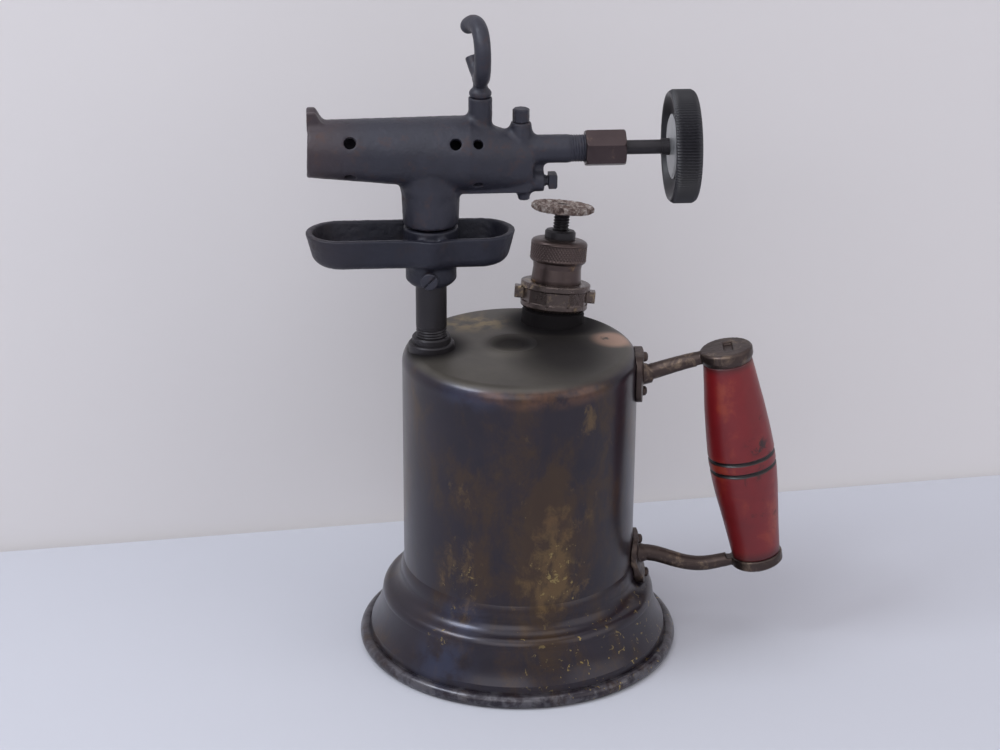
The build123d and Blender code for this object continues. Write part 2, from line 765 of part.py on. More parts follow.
with BuildPart() as pump_union_nut:
    drum(PUMP, 15.3, PUMP_NUT_LOW, 10.0)
    chamfer(pump_union_nut.faces().sort_by(Axis.Z)[0].edges(), 1.2)
    with BuildSketch(PUMP.offset(9.6)) as facets:
        RegularPolygon(15.5, 10, rotation=12)
    extrude(amount=6.6)
    drum(PUMP, 15.9, 16.1, PUMP_NUT_HIGH)
    lug_edges = pump_union_nut.faces().sort_by(Axis(PUMP.origin, PUMP.z_dir))[-1].edges()
    fillet(lug_edges, 0.7)
    with BuildSketch(PUMP.offset(10.6)) as lugs:
        with Locations(Rotation(0, 0, -64)):
            Rectangle(36.8, 6.4)
    extrude(amount=5.4)
    drum(PUMP, 13.03, PUMP_NUT_LOW - 1, 12.8, mode=Mode.SUBTRACT)
    drum(PUMP, 12.4, 5.0, 17.7, mode=Mode.SUBTRACT)
    drum(PUMP, 11.4, 5.0, PUMP_NUT_HIGH + 2, mode=Mode.SUBTRACT)
pump_union_nut.part.label = "pump_union_nut"
export_step(pump_union_nut.part, "parts/pump_union_nut.step")

with BuildPart() as pump_head:
    turn(
        PUMP,
        (BARREL_R + 0.02, 9.45),
        (12.95, 9.45),
        (12.95, 12.7),
        (12.35, 12.75),
        (12.3, 17.6),
        (11.2, 17.65),
        (11.3, 20.4),
        (10.9, 25.5),
        (11.2, 28.0),
        (10.6, 28.15),
        (10.6, 35.6),
        (BARREL_R - BARREL_WALL, 35.6),
        (BARREL_R - BARREL_WALL, 18.0),
        (BARREL_R + 0.02, 18.0),
    )
pump_head.part.label = "pump_head"
export_step(pump_head.part, "parts/pump_head.step")

with BuildPart() as pump_barrel:
    ring(PUMP, BARREL_R, BARREL_R - BARREL_WALL, BARREL_END, 17.98)
    ring(PUMP, BARREL_R, 3.4, BARREL_END, BARREL_END + 2.0)
pump_barrel.part.label = "pump_barrel"
export_step(pump_barrel.part, "parts/pump_barrel.step")

with BuildPart() as pump_cap:
    turn(
        PUMP,
        (0, PUMP_CAP_LOW),
        (11.9, PUMP_CAP_LOW),
        (12.9, PUMP_CAP_LOW + 1.4),
        (12.9, PUMP_CAP_HIGH - 2.4),
        (12.3, PUMP_CAP_HIGH - 1.1),
        (10.6, PUMP_CAP_HIGH - 0.3),
        (8.6, PUMP_CAP_HIGH),
        (0, PUMP_CAP_HIGH),
    )
    drum(PUMP, 10.64, PUMP_CAP_LOW - 1, 35.8, mode=Mode.SUBTRACT)
    drum(PUMP, 5.0, 30.0, PUMP_CAP_HIGH + 1, mode=Mode.SUBTRACT)
pump_cap.part.label = "pump_cap"
export_step(pump_cap.part, "parts/pump_cap.step")

with BuildPart() as pump_collar:
    turn(
        PUMP,
        (PUMP_ROD_R + FIT, 34.4),
        (4.95, 34.4),
        (4.95, PUMP_CAP_HIGH + 0.03),
        (7.0, PUMP_CAP_HIGH + 0.03),
        (7.0, PUMP_COLLAR_HIGH - 0.9),
        (6.2, PUMP_COLLAR_HIGH),
        (PUMP_ROD_R + FIT, PUMP_COLLAR_HIGH),
    )
pump_collar.part.label = "pump_collar"
export_step(pump_collar.part, "parts/pump_collar.step")

with BuildPart() as pump_rod:
    turn(
        PUMP,
        (0, PISTON_LOW - 4.0),
        (1.6, PISTON_LOW - 4.0),
        (1.6, PISTON_LOW + 6.2),
        (2.6, PISTON_LOW + 6.2),
        (2.6, -21.0),
        (PUMP_ROD_R, -20.0),
        (PUMP_ROD_R, PUMP_WHEEL_LOW),
        (2.6, PUMP_WHEEL_LOW),
        (2.6, PUMP_WHEEL_LOW + PUMP_WHEEL_THICK - 0.4),
        (0, PUMP_WHEEL_LOW + PUMP_WHEEL_THICK - 0.4),
    )
    drum(PUMP, 2.6, PUMP_WHEEL_LOW, PUMP_WHEEL_LOW + 1)
pump_rod.part.label = "pump_rod"
export_step(pump_rod.part, "parts/pump_rod.step")

with BuildPart() as pump_wheel:
    wheel_top = PUMP_WHEEL_LOW + PUMP_WHEEL_THICK
    turn(
        PUMP,
        (2.62, PUMP_WHEEL_LOW + 0.02),
        (12.8, PUMP_WHEEL_LOW + 0.02),
        (PUMP_WHEEL_R, PUMP_WHEEL_LOW + 1.0),
        (PUMP_WHEEL_R, wheel_top - 0.8),
        (13.4, wheel_top),
        (11.4, wheel_top - 0.2),
        (10.2, wheel_top - 1.2),
        (6.6, wheel_top - 1.2),
        (5.4, wheel_top + 0.2),
        (2.62, wheel_top + 0.2),
    )
    with BuildSketch(PUMP.offset(PUMP_WHEEL_LOW - 1)) as finger_dips:
        with PolarLocations(PUMP_WHEEL_R + 0.7, 18):
            Circle(1.9)
        with PolarLocations(8.4, 6):
            Circle(1.25)
    extrude(amount=6, mode=Mode.SUBTRACT)
pump_wheel.part.label = "pump_wheel"
export_step(pump_wheel.part, "parts/pump_wheel.step")

with BuildPart() as piston_washers:
    ring(PUMP, 7.9, 1.65, PISTON_LOW + 4.9, PISTON_LOW + 6.1)
    ring(PUMP, 6.4, 1.65, PISTON_LOW - 0.6, PISTON_LOW + 0.6)
piston_washers.part.label = "piston_washers"
export_step(piston_washers.part, "parts/piston_washers.step")

with BuildPart() as leather_cup:
    turn(
        PUMP,
        (1.65, PISTON_LOW + 3.4),
        (6.5, PISTON_LOW + 3.4),
        (7.2, PISTON_LOW + 2.6),
        (7.3, PISTON_LOW - 2.6),
        (8.42, PISTON_LOW - 2.8),
        (8.42, PISTON_LOW + 3.6),
        (7.4, PISTON_LOW + 4.85),
        (1.65, PISTON_LOW + 4.85),
    )
leather_cup.part.label = "leather_cup"
export_step(leather_cup.part, "parts/leather_cup.step")

with BuildPart() as piston_spacer:
    ring(PUMP, 3.2, 1.65, PISTON_LOW + 0.65, PISTON_LOW + 3.35)
piston_spacer.part.label = "piston_spacer"
export_step(piston_spacer.part, "parts/piston_spacer.step")

with BuildPart() as piston_nut:
    with BuildSketch(PUMP.offset(PISTON_LOW - 3.4)) as piston_flats:
        RegularPolygon(3.6, 6)
        Circle(1.65, mode=Mode.SUBTRACT)
    extrude(amount=2.75)
piston_nut.part.label = "piston_nut"
export_step(piston_nut.part, "parts/piston_nut.step")

VALVE_SEAT = BARREL_END - 4.0

with BuildPart() as check_valve_body:
    turn(
        PUMP,
        (0.9, BARREL_END + 1.9),
        (3.35, BARREL_END + 1.9),
        (3.35, BARREL_END - 0.05),
        (5.6, BARREL_END - 0.05),
        (5.6, BARREL_END - 13.0),
        (1.2, BARREL_END - 13.0),
        (1.2, BARREL_END - 12.0),
        (3.2, BARREL_END - 12.0),
        (3.2, VALVE_SEAT + 0.4),
        (0.9, VALVE_SEAT + 1.9),
    )
check_valve_body.part.label = "check_valve_body"
export_step(check_valve_body.part, "parts/check_valve_body.step")

BALL_R = 2.0
BALL_AT = VALVE_SEAT

with BuildPart() as check_ball:
    with Locations(Location(PUMP.offset(BALL_AT).origin)):
        Sphere(BALL_R)
check_ball.part.label = "check_ball"
export_step(check_ball.part, "parts/check_ball.step")

SPRING_WIRE = 0.25
SPRING_LONG = BALL_AT - BALL_R - (BARREL_END - 12.0) - 2 * SPRING_WIRE - 0.1

with BuildPart() as check_spring:
    spring_low = PUMP.offset(BARREL_END - 12.0 + SPRING_WIRE + 0.05)
    with BuildLine() as coil:
        Helix(
            pitch=SPRING_LONG / 5,
            height=SPRING_LONG,
            radius=1.7,
            center=spring_low.origin,
            direction=spring_low.z_dir,
        )
    with BuildSketch(Plane(coil.line @ 0, z_dir=coil.line % 0)) as coil_section:
        Circle(SPRING_WIRE)
    sweep(coil_section.sketch, path=coil.line, is_frenet=True)
check_spring.part.label = "check_spring"
export_step(check_spring.part, "parts/check_spring.step")

# ---------------------------------------------------------------- side handle


def flange(level, *face):
    """Plate with rounded corners against the tank, its outer face turned from (radius, height)."""
    turn(TANK, (TANK_R - 4, level + 14), *face, (TANK_R - 4, level - 14))
    with BuildSketch(outward(level).offset(40)) as plate:
        RectangleRounded(FLANGE_TALL, FLANGE_WIDE, 7.0)
    extrude(plate.sketch, amount=30, mode=Mode.INTERSECT)
    with BuildSketch(side_of(TANK)) as tank_side:
        with BuildLine():
            tank_outline(-0.05)
            Polyline((67.95, 8.6), (0, 8.6), (0, CROWN_Z + 0.05))
        make_face()
    revolve(tank_side.sketch, axis=Axis.Z, mode=Mode.SUBTRACT)


def arm(knots, start_r, end_r):
    """Arm from the flange to the cap along a smooth line through (radius, height) knots."""
    with BuildLine(HANDLE_SIDE) as middle:
        Spline(*knots)
    with BuildSketch(Plane(middle.line @ 0, z_dir=middle.line % 0)) as root:
        Circle(start_r)
    with BuildSketch(Plane(middle.line @ 1, z_dir=middle.line % 1)) as tip:
        Circle(end_r)
    sweep([root.sketch, tip.sketch], path=middle.line, multisection=True)


with BuildPart() as upper_handle_bracket:
    flange(UPPER_FLANGE_Z, (FLANGE_R, UPPER_FLANGE_Z + 14), (FLANGE_R, UPPER_FLANGE_Z - 14))
    turn(outward(130.4), (0, 53.4), (5.0, 53.4), (4.8, 56.2), (3.9, 59.4), (0, 60.0))
    arm([(56.0, 130.7), (64.0, 133.2), (73.0, 136.1), (83.5, 138.6)], 3.75, 3.2)
    drum(HANDLE, CAP_R + 2, UPPER_CAP - 0.5, UPPER_CAP + 9, mode=Mode.SUBTRACT)
    turn(
        HANDLE,
        (0, 0),
        (CAP_R - 0.9, 0),
        (CAP_R, 0.9),
        (CAP_R, 3.9),
        (CAP_R - 0.9, UPPER_CAP),
        (0, UPPER_CAP),
    )
    with BuildSketch(HANDLE) as cap_slot:
        with Locations((1.0, -0.6)):
            RectangleRounded(4.0, 10.0, 0.8)
    extrude(amount=1.3, mode=Mode.SUBTRACT)
    drum(HANDLE, HANDLE_BOLT_R + 0.03, 3.0, UPPER_CAP + 1, mode=Mode.SUBTRACT)
    for level in RIVETS:
        drum(outward(level), 1.3, 45, 60, mode=Mode.SUBTRACT)
upper_handle_bracket.part.label = "upper_handle_bracket"
export_step(upper_handle_bracket.part, "parts/upper_handle_bracket.step")

with BuildPart() as lower_handle_bracket:
    flange(
        LOWER_FLANGE_Z,
        (FLANGE_R, LOWER_FLANGE_Z + 14),
        (FLANGE_R, 41.5),
        (56.9, 37.0),
        (58.6, 34.4),
        (58.6, 28.8),
        (61.0, 27.0),
        (61.0, 24.0),
    )
    turn(outward(41.2), (0, 54.6), (4.7, 54.6), (4.6, 56.2), (3.9, 58.6), (0, 59.4))
    arm(
        [(56.0, 41.5), (64.0, 40.6), (74.2, 37.4), (84.2, 36.0), (93.0, 37.4), (102.0, 39.6)],
        3.8,
        3.2,
    )
    bottom = HANDLE_LONG
    drum(HANDLE, CAP_R + 2, bottom - LOWER_CAP - 9, bottom - LOWER_CAP + 0.5, mode=Mode.SUBTRACT)
    turn(
        HANDLE,
        (0, bottom - LOWER_CAP),
        (CAP_R - 0.6, bottom - LOWER_CAP),
        (CAP_R, bottom - LOWER_CAP + 0.6),
        (CAP_R, bottom - 1.2),
        (CAP_R - 1.4, bottom),
        (0, bottom),
    )
    drum(HANDLE, HANDLE_BOLT_R + 0.03, bottom - 20, bottom + 1, mode=Mode.SUBTRACT)
    drum(HANDLE, 4.9, bottom - 2.2, bottom + 1, mode=Mode.SUBTRACT)
    for level in RIVETS:
        drum(outward(level), 1.3, 45, 60, mode=Mode.SUBTRACT)
lower_handle_bracket.part.label = "lower_handle_bracket"
export_step(lower_handle_bracket.part, "parts/lower_handle_bracket.step")

with BuildPart() as bracket_rivets:
    for level, seat in RIVETS.items():
        turn(
            outward(level),
            (0, TANK_R - 3.0),
            (1.9, TANK_R - 2.8),
            (1.9, TANK_R - 2.1),
            (1.25, TANK_R - 2.1),
            (1.25, seat + 0.02),
            (2.3, seat + 0.02),
            (2.1, seat + 1.2),
            (1.3, seat + 1.8),
            (0, seat + 2.0),
        )
bracket_rivets.part.label = "bracket_rivets"
export_step(bracket_rivets.part, "parts/bracket_rivets.step")

with BuildPart() as wood_handle:
    wood_end = HANDLE_LONG - LOWER_CAP - 0.03
    wood_start = UPPER_CAP + 0.03
    with BuildSketch(side_of(HANDLE)) as grip_outline:
        with BuildLine():
            Line((HANDLE_BOLT_R + 0.2, wood_end), (HANDLE_BOLT_R + 0.2, wood_start))
            Line((HANDLE_BOLT_R + 0.2, wood_start), (11.1, wood_start))
            Spline(
                (11.1, wood_start),
                (13.8, 30.0),
                (15.4, 54.5),
                (13.4, 80.0),
                (11.1, wood_end),
            )
            Line((11.1, wood_end), (HANDLE_BOLT_R + 0.2, wood_end))
        make_face()
        for groove in (51.7, 57.4):
            with Locations((16.0, groove)):
                Circle(1.5, mode=Mode.SUBTRACT)
    revolve(grip_outline.sketch, axis=Axis(HANDLE.origin, HANDLE.z_dir))
wood_handle.part.label = "wood_handle"
export_step(wood_handle.part, "parts/wood_handle.step")

with BuildPart() as handle_bolt:
    drum(HANDLE, HANDLE_BOLT_R, 3.1, HANDLE_LONG - 2.0)
    drum(HANDLE, 4.7, HANDLE_LONG - 2.15, HANDLE_LONG - 0.3)
    with BuildSketch(HANDLE.offset(HANDLE_LONG - 1.1)) as bolt_slot:
        Rectangle(12, 1.1)
    extrude(amount=3, mode=Mode.SUBTRACT)
handle_bolt.part.label = "handle_bolt"
export_step(handle_bolt.part, "parts/handle_bolt.step")
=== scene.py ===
import json
import math

import bpy
import bmesh
import numpy as np
from mathutils import Matrix, Vector


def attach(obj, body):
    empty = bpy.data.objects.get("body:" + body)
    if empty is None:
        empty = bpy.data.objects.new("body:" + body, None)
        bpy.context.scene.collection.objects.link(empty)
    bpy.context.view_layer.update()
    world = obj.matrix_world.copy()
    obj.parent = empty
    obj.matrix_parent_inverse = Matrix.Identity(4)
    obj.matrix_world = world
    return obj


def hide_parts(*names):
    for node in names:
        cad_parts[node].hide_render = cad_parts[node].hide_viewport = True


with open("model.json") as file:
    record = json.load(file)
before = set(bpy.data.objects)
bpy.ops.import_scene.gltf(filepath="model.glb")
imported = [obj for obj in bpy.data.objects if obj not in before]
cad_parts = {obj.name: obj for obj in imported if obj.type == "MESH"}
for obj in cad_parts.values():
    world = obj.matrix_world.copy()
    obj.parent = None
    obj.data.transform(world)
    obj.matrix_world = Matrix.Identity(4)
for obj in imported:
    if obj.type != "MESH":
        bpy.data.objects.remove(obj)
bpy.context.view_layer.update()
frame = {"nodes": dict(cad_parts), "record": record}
NODES = frame["nodes"]
MM = 0.001


# ---------------------------------------------------------------- frames

def unit(v):
    v = np.asarray(v, float)
    return v / np.linalg.norm(v)


def frame_of(origin, z_dir, x_dir):
    """Origin in millimetres, with the axes of a turned piece."""
    z = unit(z_dir)
    x = np.asarray(x_dir, float)
    x = unit(x - z * x.dot(z))
    return np.asarray(origin, float), x, np.cross(z, x), z


# The pump leans away from the tank's axis, towards its back right
LEAN, SWING = math.radians(10.7), math.radians(59.6)
PUMP = frame_of(
    (17.3, 29.5, 143.0),
    (math.sin(LEAN) * math.cos(SWING), math.sin(LEAN) * math.sin(SWING), math.cos(LEAN)),
    (math.cos(LEAN) * math.cos(SWING), math.cos(LEAN) * math.sin(SWING), -math.sin(LEAN)),
)
VALVE = frame_of((0, 0, 234.5), (1, 0, 0), (0, 1, 0))
POST = frame_of((-39.4, 0, 0), (0, 0, 1), (1, 0, 0))
# The wooden grip hangs from its cap, and its foot leans outwards
OUT = unit((math.cos(math.radians(-4.7)), math.sin(math.radians(-4.7)), 0))
TILT = math.radians(10.17)
GRIP_Z = OUT * math.sin(TILT) + np.array((0, 0, -math.cos(TILT)))
GRIP_X = OUT * math.cos(TILT) + np.array((0, 0, math.sin(TILT)))
GRIP_OUT, GRIP_TOP = 91.5, 143.5
GRIP = frame_of(OUT * GRIP_OUT + np.array((0, 0, GRIP_TOP)), GRIP_Z, GRIP_X)


# ---------------------------------------------------------------- meshes

def hashed(x, y, z, seed=0):
    """Repeatable value in 0..1 for each whole-number lattice point."""
    n = (x * 374761393 + y * 668265263 + z * 2147483647 + seed * 1442695041) & 0x7FFFFFFF
    n = (n ^ (n >> 13)) * 1274126177 & 0x7FFFFFFF
    return ((n ^ (n >> 16)) & 0xFFFFF) / float(0xFFFFF)


def value_noise(p, cell, seed=0):
    """Smooth noise in -1..1 at points p (mm), with lattice cells this many mm wide."""
    q = np.asarray(p, float) / cell + 1000.0
    base = np.floor(q).astype(np.int64)
    f = q - base
    f = f * f * (3 - 2 * f)
    total = 0.0
    for dx in (0, 1):
        for dy in (0, 1):
            for dz in (0, 1):
                w = (
                    (f[:, 0] if dx else 1 - f[:, 0])
                    * (f[:, 1] if dy else 1 - f[:, 1])
                    * (f[:, 2] if dz else 1 - f[:, 2])
                )
                total = total + w * hashed(base[:, 0] + dx, base[:, 1] + dy, base[:, 2] + dz, seed)
    return total * 2 - 1


def points_of(mesh):
    p = np.empty(len(mesh.vertices) * 3)
    mesh.vertices.foreach_get("co", p)
    return p.reshape(-1, 3) * 1000


def put_points(mesh, p):
    mesh.vertices.foreach_set("co", (np.asarray(p) * MM).ravel())
    mesh.update()


def normals_of(mesh):
    n = np.empty(len(mesh.vertices) * 3)
    mesh.vertex_normals.foreach_get("vector", n)
    return n.reshape(-1, 3)


def soft_shade(mesh, degrees):
    """Smooth shading with creases kept where faces meet at more than this angle."""
    mesh.shade_smooth()
    mesh.set_sharp_from_angle(angle=math.radians(degrees))


def piece(name, mesh, body, material, replaced=None):
    """Puts a mesh in the scene on this body, in place of the CAD nodes named."""
    obj = bpy.data.objects.new(name, mesh)
    bpy.context.scene.collection.objects.link(obj)
    mesh.materials.clear()
    mesh.materials.append(material)
    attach(obj, body)
    if replaced:
        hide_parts(*replaced)

def turned(name, place, profile, steps, wobble=None):
    """A closed turned mesh. profile is a closed loop of (radius, along) in mm.

    wobble(angle, radius, along) gives each ring point's radius and place along the axis.
    """
    origin, x, y, z = place
    prof = np.asarray(profile, float)
    angle = np.arange(steps) * 2 * math.pi / steps
    a, r = np.meshgrid(angle, prof[:, 0], indexing="ij")
    s = np.broadcast_to(prof[:, 1], a.shape).copy()
    if wobble:
        r, s = wobble(a, r.copy(), s)
    p = (
        origin
        + (r * np.cos(a))[..., None] * x
        + (r * np.sin(a))[..., None] * y
        + s[..., None] * z
    )
    count = len(prof)
    i, j = np.meshgrid(np.arange(steps), np.arange(count), indexing="ij")
    i2, j2 = (i + 1) % steps, (j + 1) % count
    faces = np.stack([i * count + j, i2 * count + j, i2 * count + j2, i * count + j2], -1)
    mesh = bpy.data.meshes.new(name)
    mesh.from_pydata((p.reshape(-1, 3) * MM).tolist(), [], faces.reshape(-1, 4).tolist())
    mesh.validate()
    work = bmesh.new()
    work.from_mesh(mesh)
    bmesh.ops.remove_doubles(work, verts=work.verts, dist=1e-7)
    bmesh.ops.recalc_face_normals(work, faces=work.faces)
    work.to_mesh(mesh)
    work.free()
    return mesh


def fine(points, step):
    """The polyline's points with more between them, no further than step apart, and its corners."""
    out = []
    for (r0, s0), (r1, s1) in zip(points, points[1:] + points[:1]):
        parts = max(1, math.ceil(math.hypot(r1 - r0, s1 - s0) / step))
        for k in range(parts):
            t = k / parts
            out.append((r0 + (r1 - r0) * t, s0 + (s1 - s0) * t))
    return out


def copied(name, node):
    """The mesh of this CAD node, with the seams between its faces closed."""
    work = bmesh.new()
    work.from_mesh(NODES[node].data)
    bmesh.ops.remove_doubles(work, verts=work.verts, dist=2e-6)
    mesh = bpy.data.meshes.new(name)
    work.to_mesh(mesh)
    work.free()
    return mesh


def drills(name, holes):
    """One mesh of closed round bars. Each hole is (origin, direction, radius, length) in mm."""
    work = bmesh.new()
    for origin, way, radius, length in holes:
        z = Vector(way).normalized()
        aim = z.to_track_quat("Z", "Y").to_matrix().to_4x4()
        place = Matrix.Translation((Vector(origin) + z * length / 2) * MM) @ aim
        bmesh.ops.create_cone(
            work,
            cap_ends=True,
            segments=40,
            radius1=radius * MM,
            radius2=radius * MM,
            depth=length * MM,
            matrix=place,
        )
    mesh = bpy.data.meshes.new(name)
    work.to_mesh(mesh)
    work.free()
    obj = bpy.data.objects.new(name, mesh)
    bpy.context.scene.collection.objects.link(obj)
    return obj


def cast(name, node, voxel, smooth, lumps, lump_cell, fillet=0.0, holes=()):
    """A copy of a CAD node with rounded edges and filled corners, like a worn casting.

    Lengths are in mm. The lumps only take metal away, and stay inside the node's own box.
    """
    mesh = copied(name, node)
    obj = bpy.data.objects.new(name + "_work", mesh)
    bpy.context.scene.collection.objects.link(obj)
    low = points_of(mesh).min(0)
    high = points_of(mesh).max(0)
    mod = obj.modifiers.new("even", "REMESH")
    mod.mode = "VOXEL"
    mod.voxel_size = voxel * MM
    mod.use_smooth_shade = True
    if fillet:
        # Swelling and shrinking again leaves every inside corner with this radius
        for amount in (fillet, -fillet):
            swell = obj.modifiers.new("swell", "DISPLACE")
            swell.strength = amount * MM
            swell.mid_level = 0.0
            again = obj.modifiers.new("again", "REMESH")
            again.mode = "VOXEL"
            again.voxel_size = voxel * MM
    bars = drills(name + "_drill", holes) if holes else None
    if bars:
        cut = obj.modifiers.new("cut", "BOOLEAN")
        cut.operation = "DIFFERENCE"
        cut.solver = "EXACT"
        cut.object = bars
    soft = obj.modifiers.new("soft", "SMOOTH")
    soft.factor = 0.5
    soft.iterations = smooth
    bpy.context.view_layer.update()
    deps = bpy.context.evaluated_depsgraph_get()
    done = bpy.data.meshes.new_from_object(obj.evaluated_get(deps))
    bpy.data.objects.remove(obj)
    bpy.data.meshes.remove(mesh)
    if bars:
        bpy.data.objects.remove(bars)
    done.name = name
    p = points_of(done)
    waves = value_noise(p, lump_cell, 3) * 0.6 + value_noise(p, lump_cell * 0.45, 5) * 0.4
    p = p + normals_of(done) * ((waves - 0.6) * lumps)[:, None]
    put_points(done, np.clip(p, low, high))
    done.shade_smooth()
    return done


# ---------------------------------------------------------------- materials

class Paint:
    """A node material with short names for the nodes it uses. Lengths are in metres."""

    def __init__(self, name):
        self.mat = bpy.data.materials.new(name)
        self.mat.use_nodes = True
        self.tree = self.mat.node_tree
        self.shader = self.tree.nodes["Principled BSDF"]
        self.object = self.tree.nodes.new("ShaderNodeTexCoord").outputs["Object"]

    def link(self, value, socket):
        if isinstance(value, (int, float)):
            socket.default_value = value
        elif isinstance(value, tuple):
            socket.default_value = value + (1.0,)
        else:
            self.tree.links.new(value, socket)

    def noise(self, scale, detail=4.0, rough=0.55, warp=0.0, at=None):
        n = self.tree.nodes.new("ShaderNodeTexNoise")
        n.inputs["Scale"].default_value = scale
        n.inputs["Detail"].default_value = detail
        n.inputs["Roughness"].default_value = rough
        n.inputs["Distortion"].default_value = warp
        self.tree.links.new(at or self.object, n.inputs["Vector"])
        return n.outputs["Fac"]

    def map(self, move=(0, 0, 0), turn=(0, 0, 0), scale=(1, 1, 1), at=None):
        n = self.tree.nodes.new("ShaderNodeMapping")
        n.inputs["Location"].default_value = move
        n.inputs["Rotation"].default_value = turn
        n.inputs["Scale"].default_value = scale
        self.tree.links.new(at or self.object, n.inputs["Vector"])
        return n.outputs["Vector"]

    def axes(self):
        n = self.tree.nodes.new("ShaderNodeSeparateXYZ")
        self.tree.links.new(self.object, n.inputs[0])
        return n.outputs["X"], n.outputs["Y"], n.outputs["Z"]

    def math(self, what, a, b=0.0, clamp=False):
        n = self.tree.nodes.new("ShaderNodeMath")
        n.operation = what
        n.use_clamp = clamp
        self.link(a, n.inputs[0])
        self.link(b, n.inputs[1])
        return n.outputs[0]

    def add(self, *values):
        total = values[0]
        for value in values[1:]:
            total = self.math("ADD", total, value)
        return total

    def times(self, *values):
        total = values[0]
        for value in values[1:]:
            total = self.math("MULTIPLY", total, value)
        return total

    def most(self, *values):
        """The largest of these masks at each place."""
        total = values[0]
        for value in values[1:]:
            total = self.math("MAXIMUM", total, value)
        return total

    def step(self, value, low, high, a=0.0, b=1.0):
        """Goes smoothly from a to b while value goes from low to high."""
        n = self.tree.nodes.new("ShaderNodeMapRange")
        n.interpolation_type = "SMOOTHSTEP"
        self.link(value, n.inputs["Value"])
        n.inputs["From Min"].default_value = low
        n.inputs["From Max"].default_value = high
        n.inputs["To Min"].default_value = a
        n.inputs["To Max"].default_value = b
        return n.outputs["Result"]

    def near(self, centre, radius, soft=0.5, stretch=(1, 1, 1)):
        """1 inside a ball (or stretched ball) about this place in metres, falling to 0."""
        spot = self.map(
            move=tuple(-c * s for c, s in zip(centre, stretch)), scale=stretch
        )
        n = self.tree.nodes.new("ShaderNodeVectorMath")
        n.operation = "LENGTH"
        self.tree.links.new(spot, n.inputs[0])
        return self.step(n.outputs["Value"], radius * (1 - soft), radius * (1 + soft), 1.0, 0.0)

    def mix(self, amount, a, b):
        n = self.tree.nodes.new("ShaderNodeMix")
        n.data_type = "RGBA"
        self.link(amount, n.inputs[0])
        self.link(a, n.inputs[6])
        self.link(b, n.inputs[7])
        return n.outputs[2]

    def blend(self, amount, a, b):
        n = self.tree.nodes.new("ShaderNodeMix")
        n.data_type = "FLOAT"
        self.link(amount, n.inputs[0])
        self.link(a, n.inputs[2])
        self.link(b, n.inputs[3])
        return n.outputs[0]

    def ramp(self, value, *stops):
        n = self.tree.nodes.new("ShaderNodeValToRGB")
        while len(n.color_ramp.elements) < len(stops):
            n.color_ramp.elements.new(0.5)
        for e, (place, colour) in zip(n.color_ramp.elements, stops):
            e.position = place
            e.color = tuple(colour) + (1.0,)
        self.link(value, n.inputs[0])
        return n.outputs["Color"]

    def bump(self, height, deep, strength=1.0):
        """deep is the real height in metres that a change of 1 in height stands for."""
        n = self.tree.nodes.new("ShaderNodeBump")
        n.inputs["Strength"].default_value = strength
        n.inputs["Distance"].default_value = deep
        self.link(height, n.inputs["Height"])
        self.tree.links.new(n.outputs[0], self.shader.inputs["Normal"])

    def set(self, **values):
        names = {
            "colour": "Base Color",
            "metal": "Metallic",
            "rough": "Roughness",
            "coat": "Coat Weight",
            "coat_rough": "Coat Roughness",
            "specular": "Specular IOR Level",
        }
        for key, value in values.items():
            self.link(value, self.shader.inputs[names[key]])
        return self.mat


def shade(colour, factor):
    return tuple(min(1.0, c * factor) for c in colour)


def iron(name, tint, brown, gloss):
    """Blackened cast iron with a fine sandy skin, and brown rust that grows towards the mouth."""
    m = Paint(name)
    rust = m.step(m.noise(160, 6, 0.7, 0.4), 0.52, 0.72)
    base = m.mix(m.noise(90, 4, 0.6), shade(tint, 0.7), shade(tint, 1.35))
    x, _, _ = m.axes()
    to_mouth = m.step(x, -0.062, -0.094)
    worn = m.math("ADD", m.times(rust, 0.55), m.times(to_mouth, 0.45), clamp=True)
    grit = m.noise(1400, 3, 0.7)
    m.bump(m.add(m.times(grit, 0.35), m.noise(500, 4, 0.6)), 0.00022, 0.8)
    return m.set(colour=m.mix(worn, base, brown), metal=0.25, rough=m.blend(rust, gloss, gloss + 0.2))


def aged_brass(name, dark, gold, low, high, rough):
    """Brass under a dark skin, worn through to gold where the noise goes from low to high."""
    m = Paint(name)
    wear = m.step(m.noise(120, 8, 0.68, 0.6), low, high)
    skin = m.mix(m.noise(45, 3, 0.5), shade(dark, 0.6), shade(dark, 1.5))
    m.bump(m.noise(700, 5, 0.65), 0.00008, 0.7)
    return m.set(colour=m.mix(wear, skin, gold), metal=0.85, rough=m.blend(m.noise(200, 4), *rough))


def plain(name, colour, rough, metal=0.0, grain=600, deep=0.00005):
    """One finish with a faint uneven tone and grain."""
    m = Paint(name)
    tone = m.mix(m.noise(grain / 4, 4), shade(colour, 0.75), shade(colour, 1.25))
    m.bump(m.noise(grain, 4, 0.6), deep, 0.7)
    uneven = m.blend(m.noise(grain / 2, 3), rough * 0.85, min(1, rough * 1.2))
    return m.set(colour=tone, metal=metal, rough=uneven)


# Worn places on the front of the tank's wall: place in metres, radius and strength
WARM_PLACES = (
    ((-0.029, -0.0440, 0.050), 0.011, 1.0),
    ((0.0175, -0.0495, 0.057), 0.012, 1.0),
    ((0.0050, -0.0520, 0.050), 0.010, 0.8),
    ((0.0100, -0.0515, 0.086), 0.010, 0.7),
    ((0.0260, -0.0455, 0.088), 0.007, 0.7),
    ((-0.0290, -0.0440, 0.092), 0.007, 0.6),
    ((0.0255, -0.0460, 0.127), 0.005, 0.9),
)
TANK_TOP = 0.1440
DIMPLE_X = -0.0036
# Centres of the darker places round the feet of the pump and the post
PUMP_FOOT = (0.0185, 0.0270, 0.1436)
POST_FOOT = (-0.0394, 0.0, 0.1436)


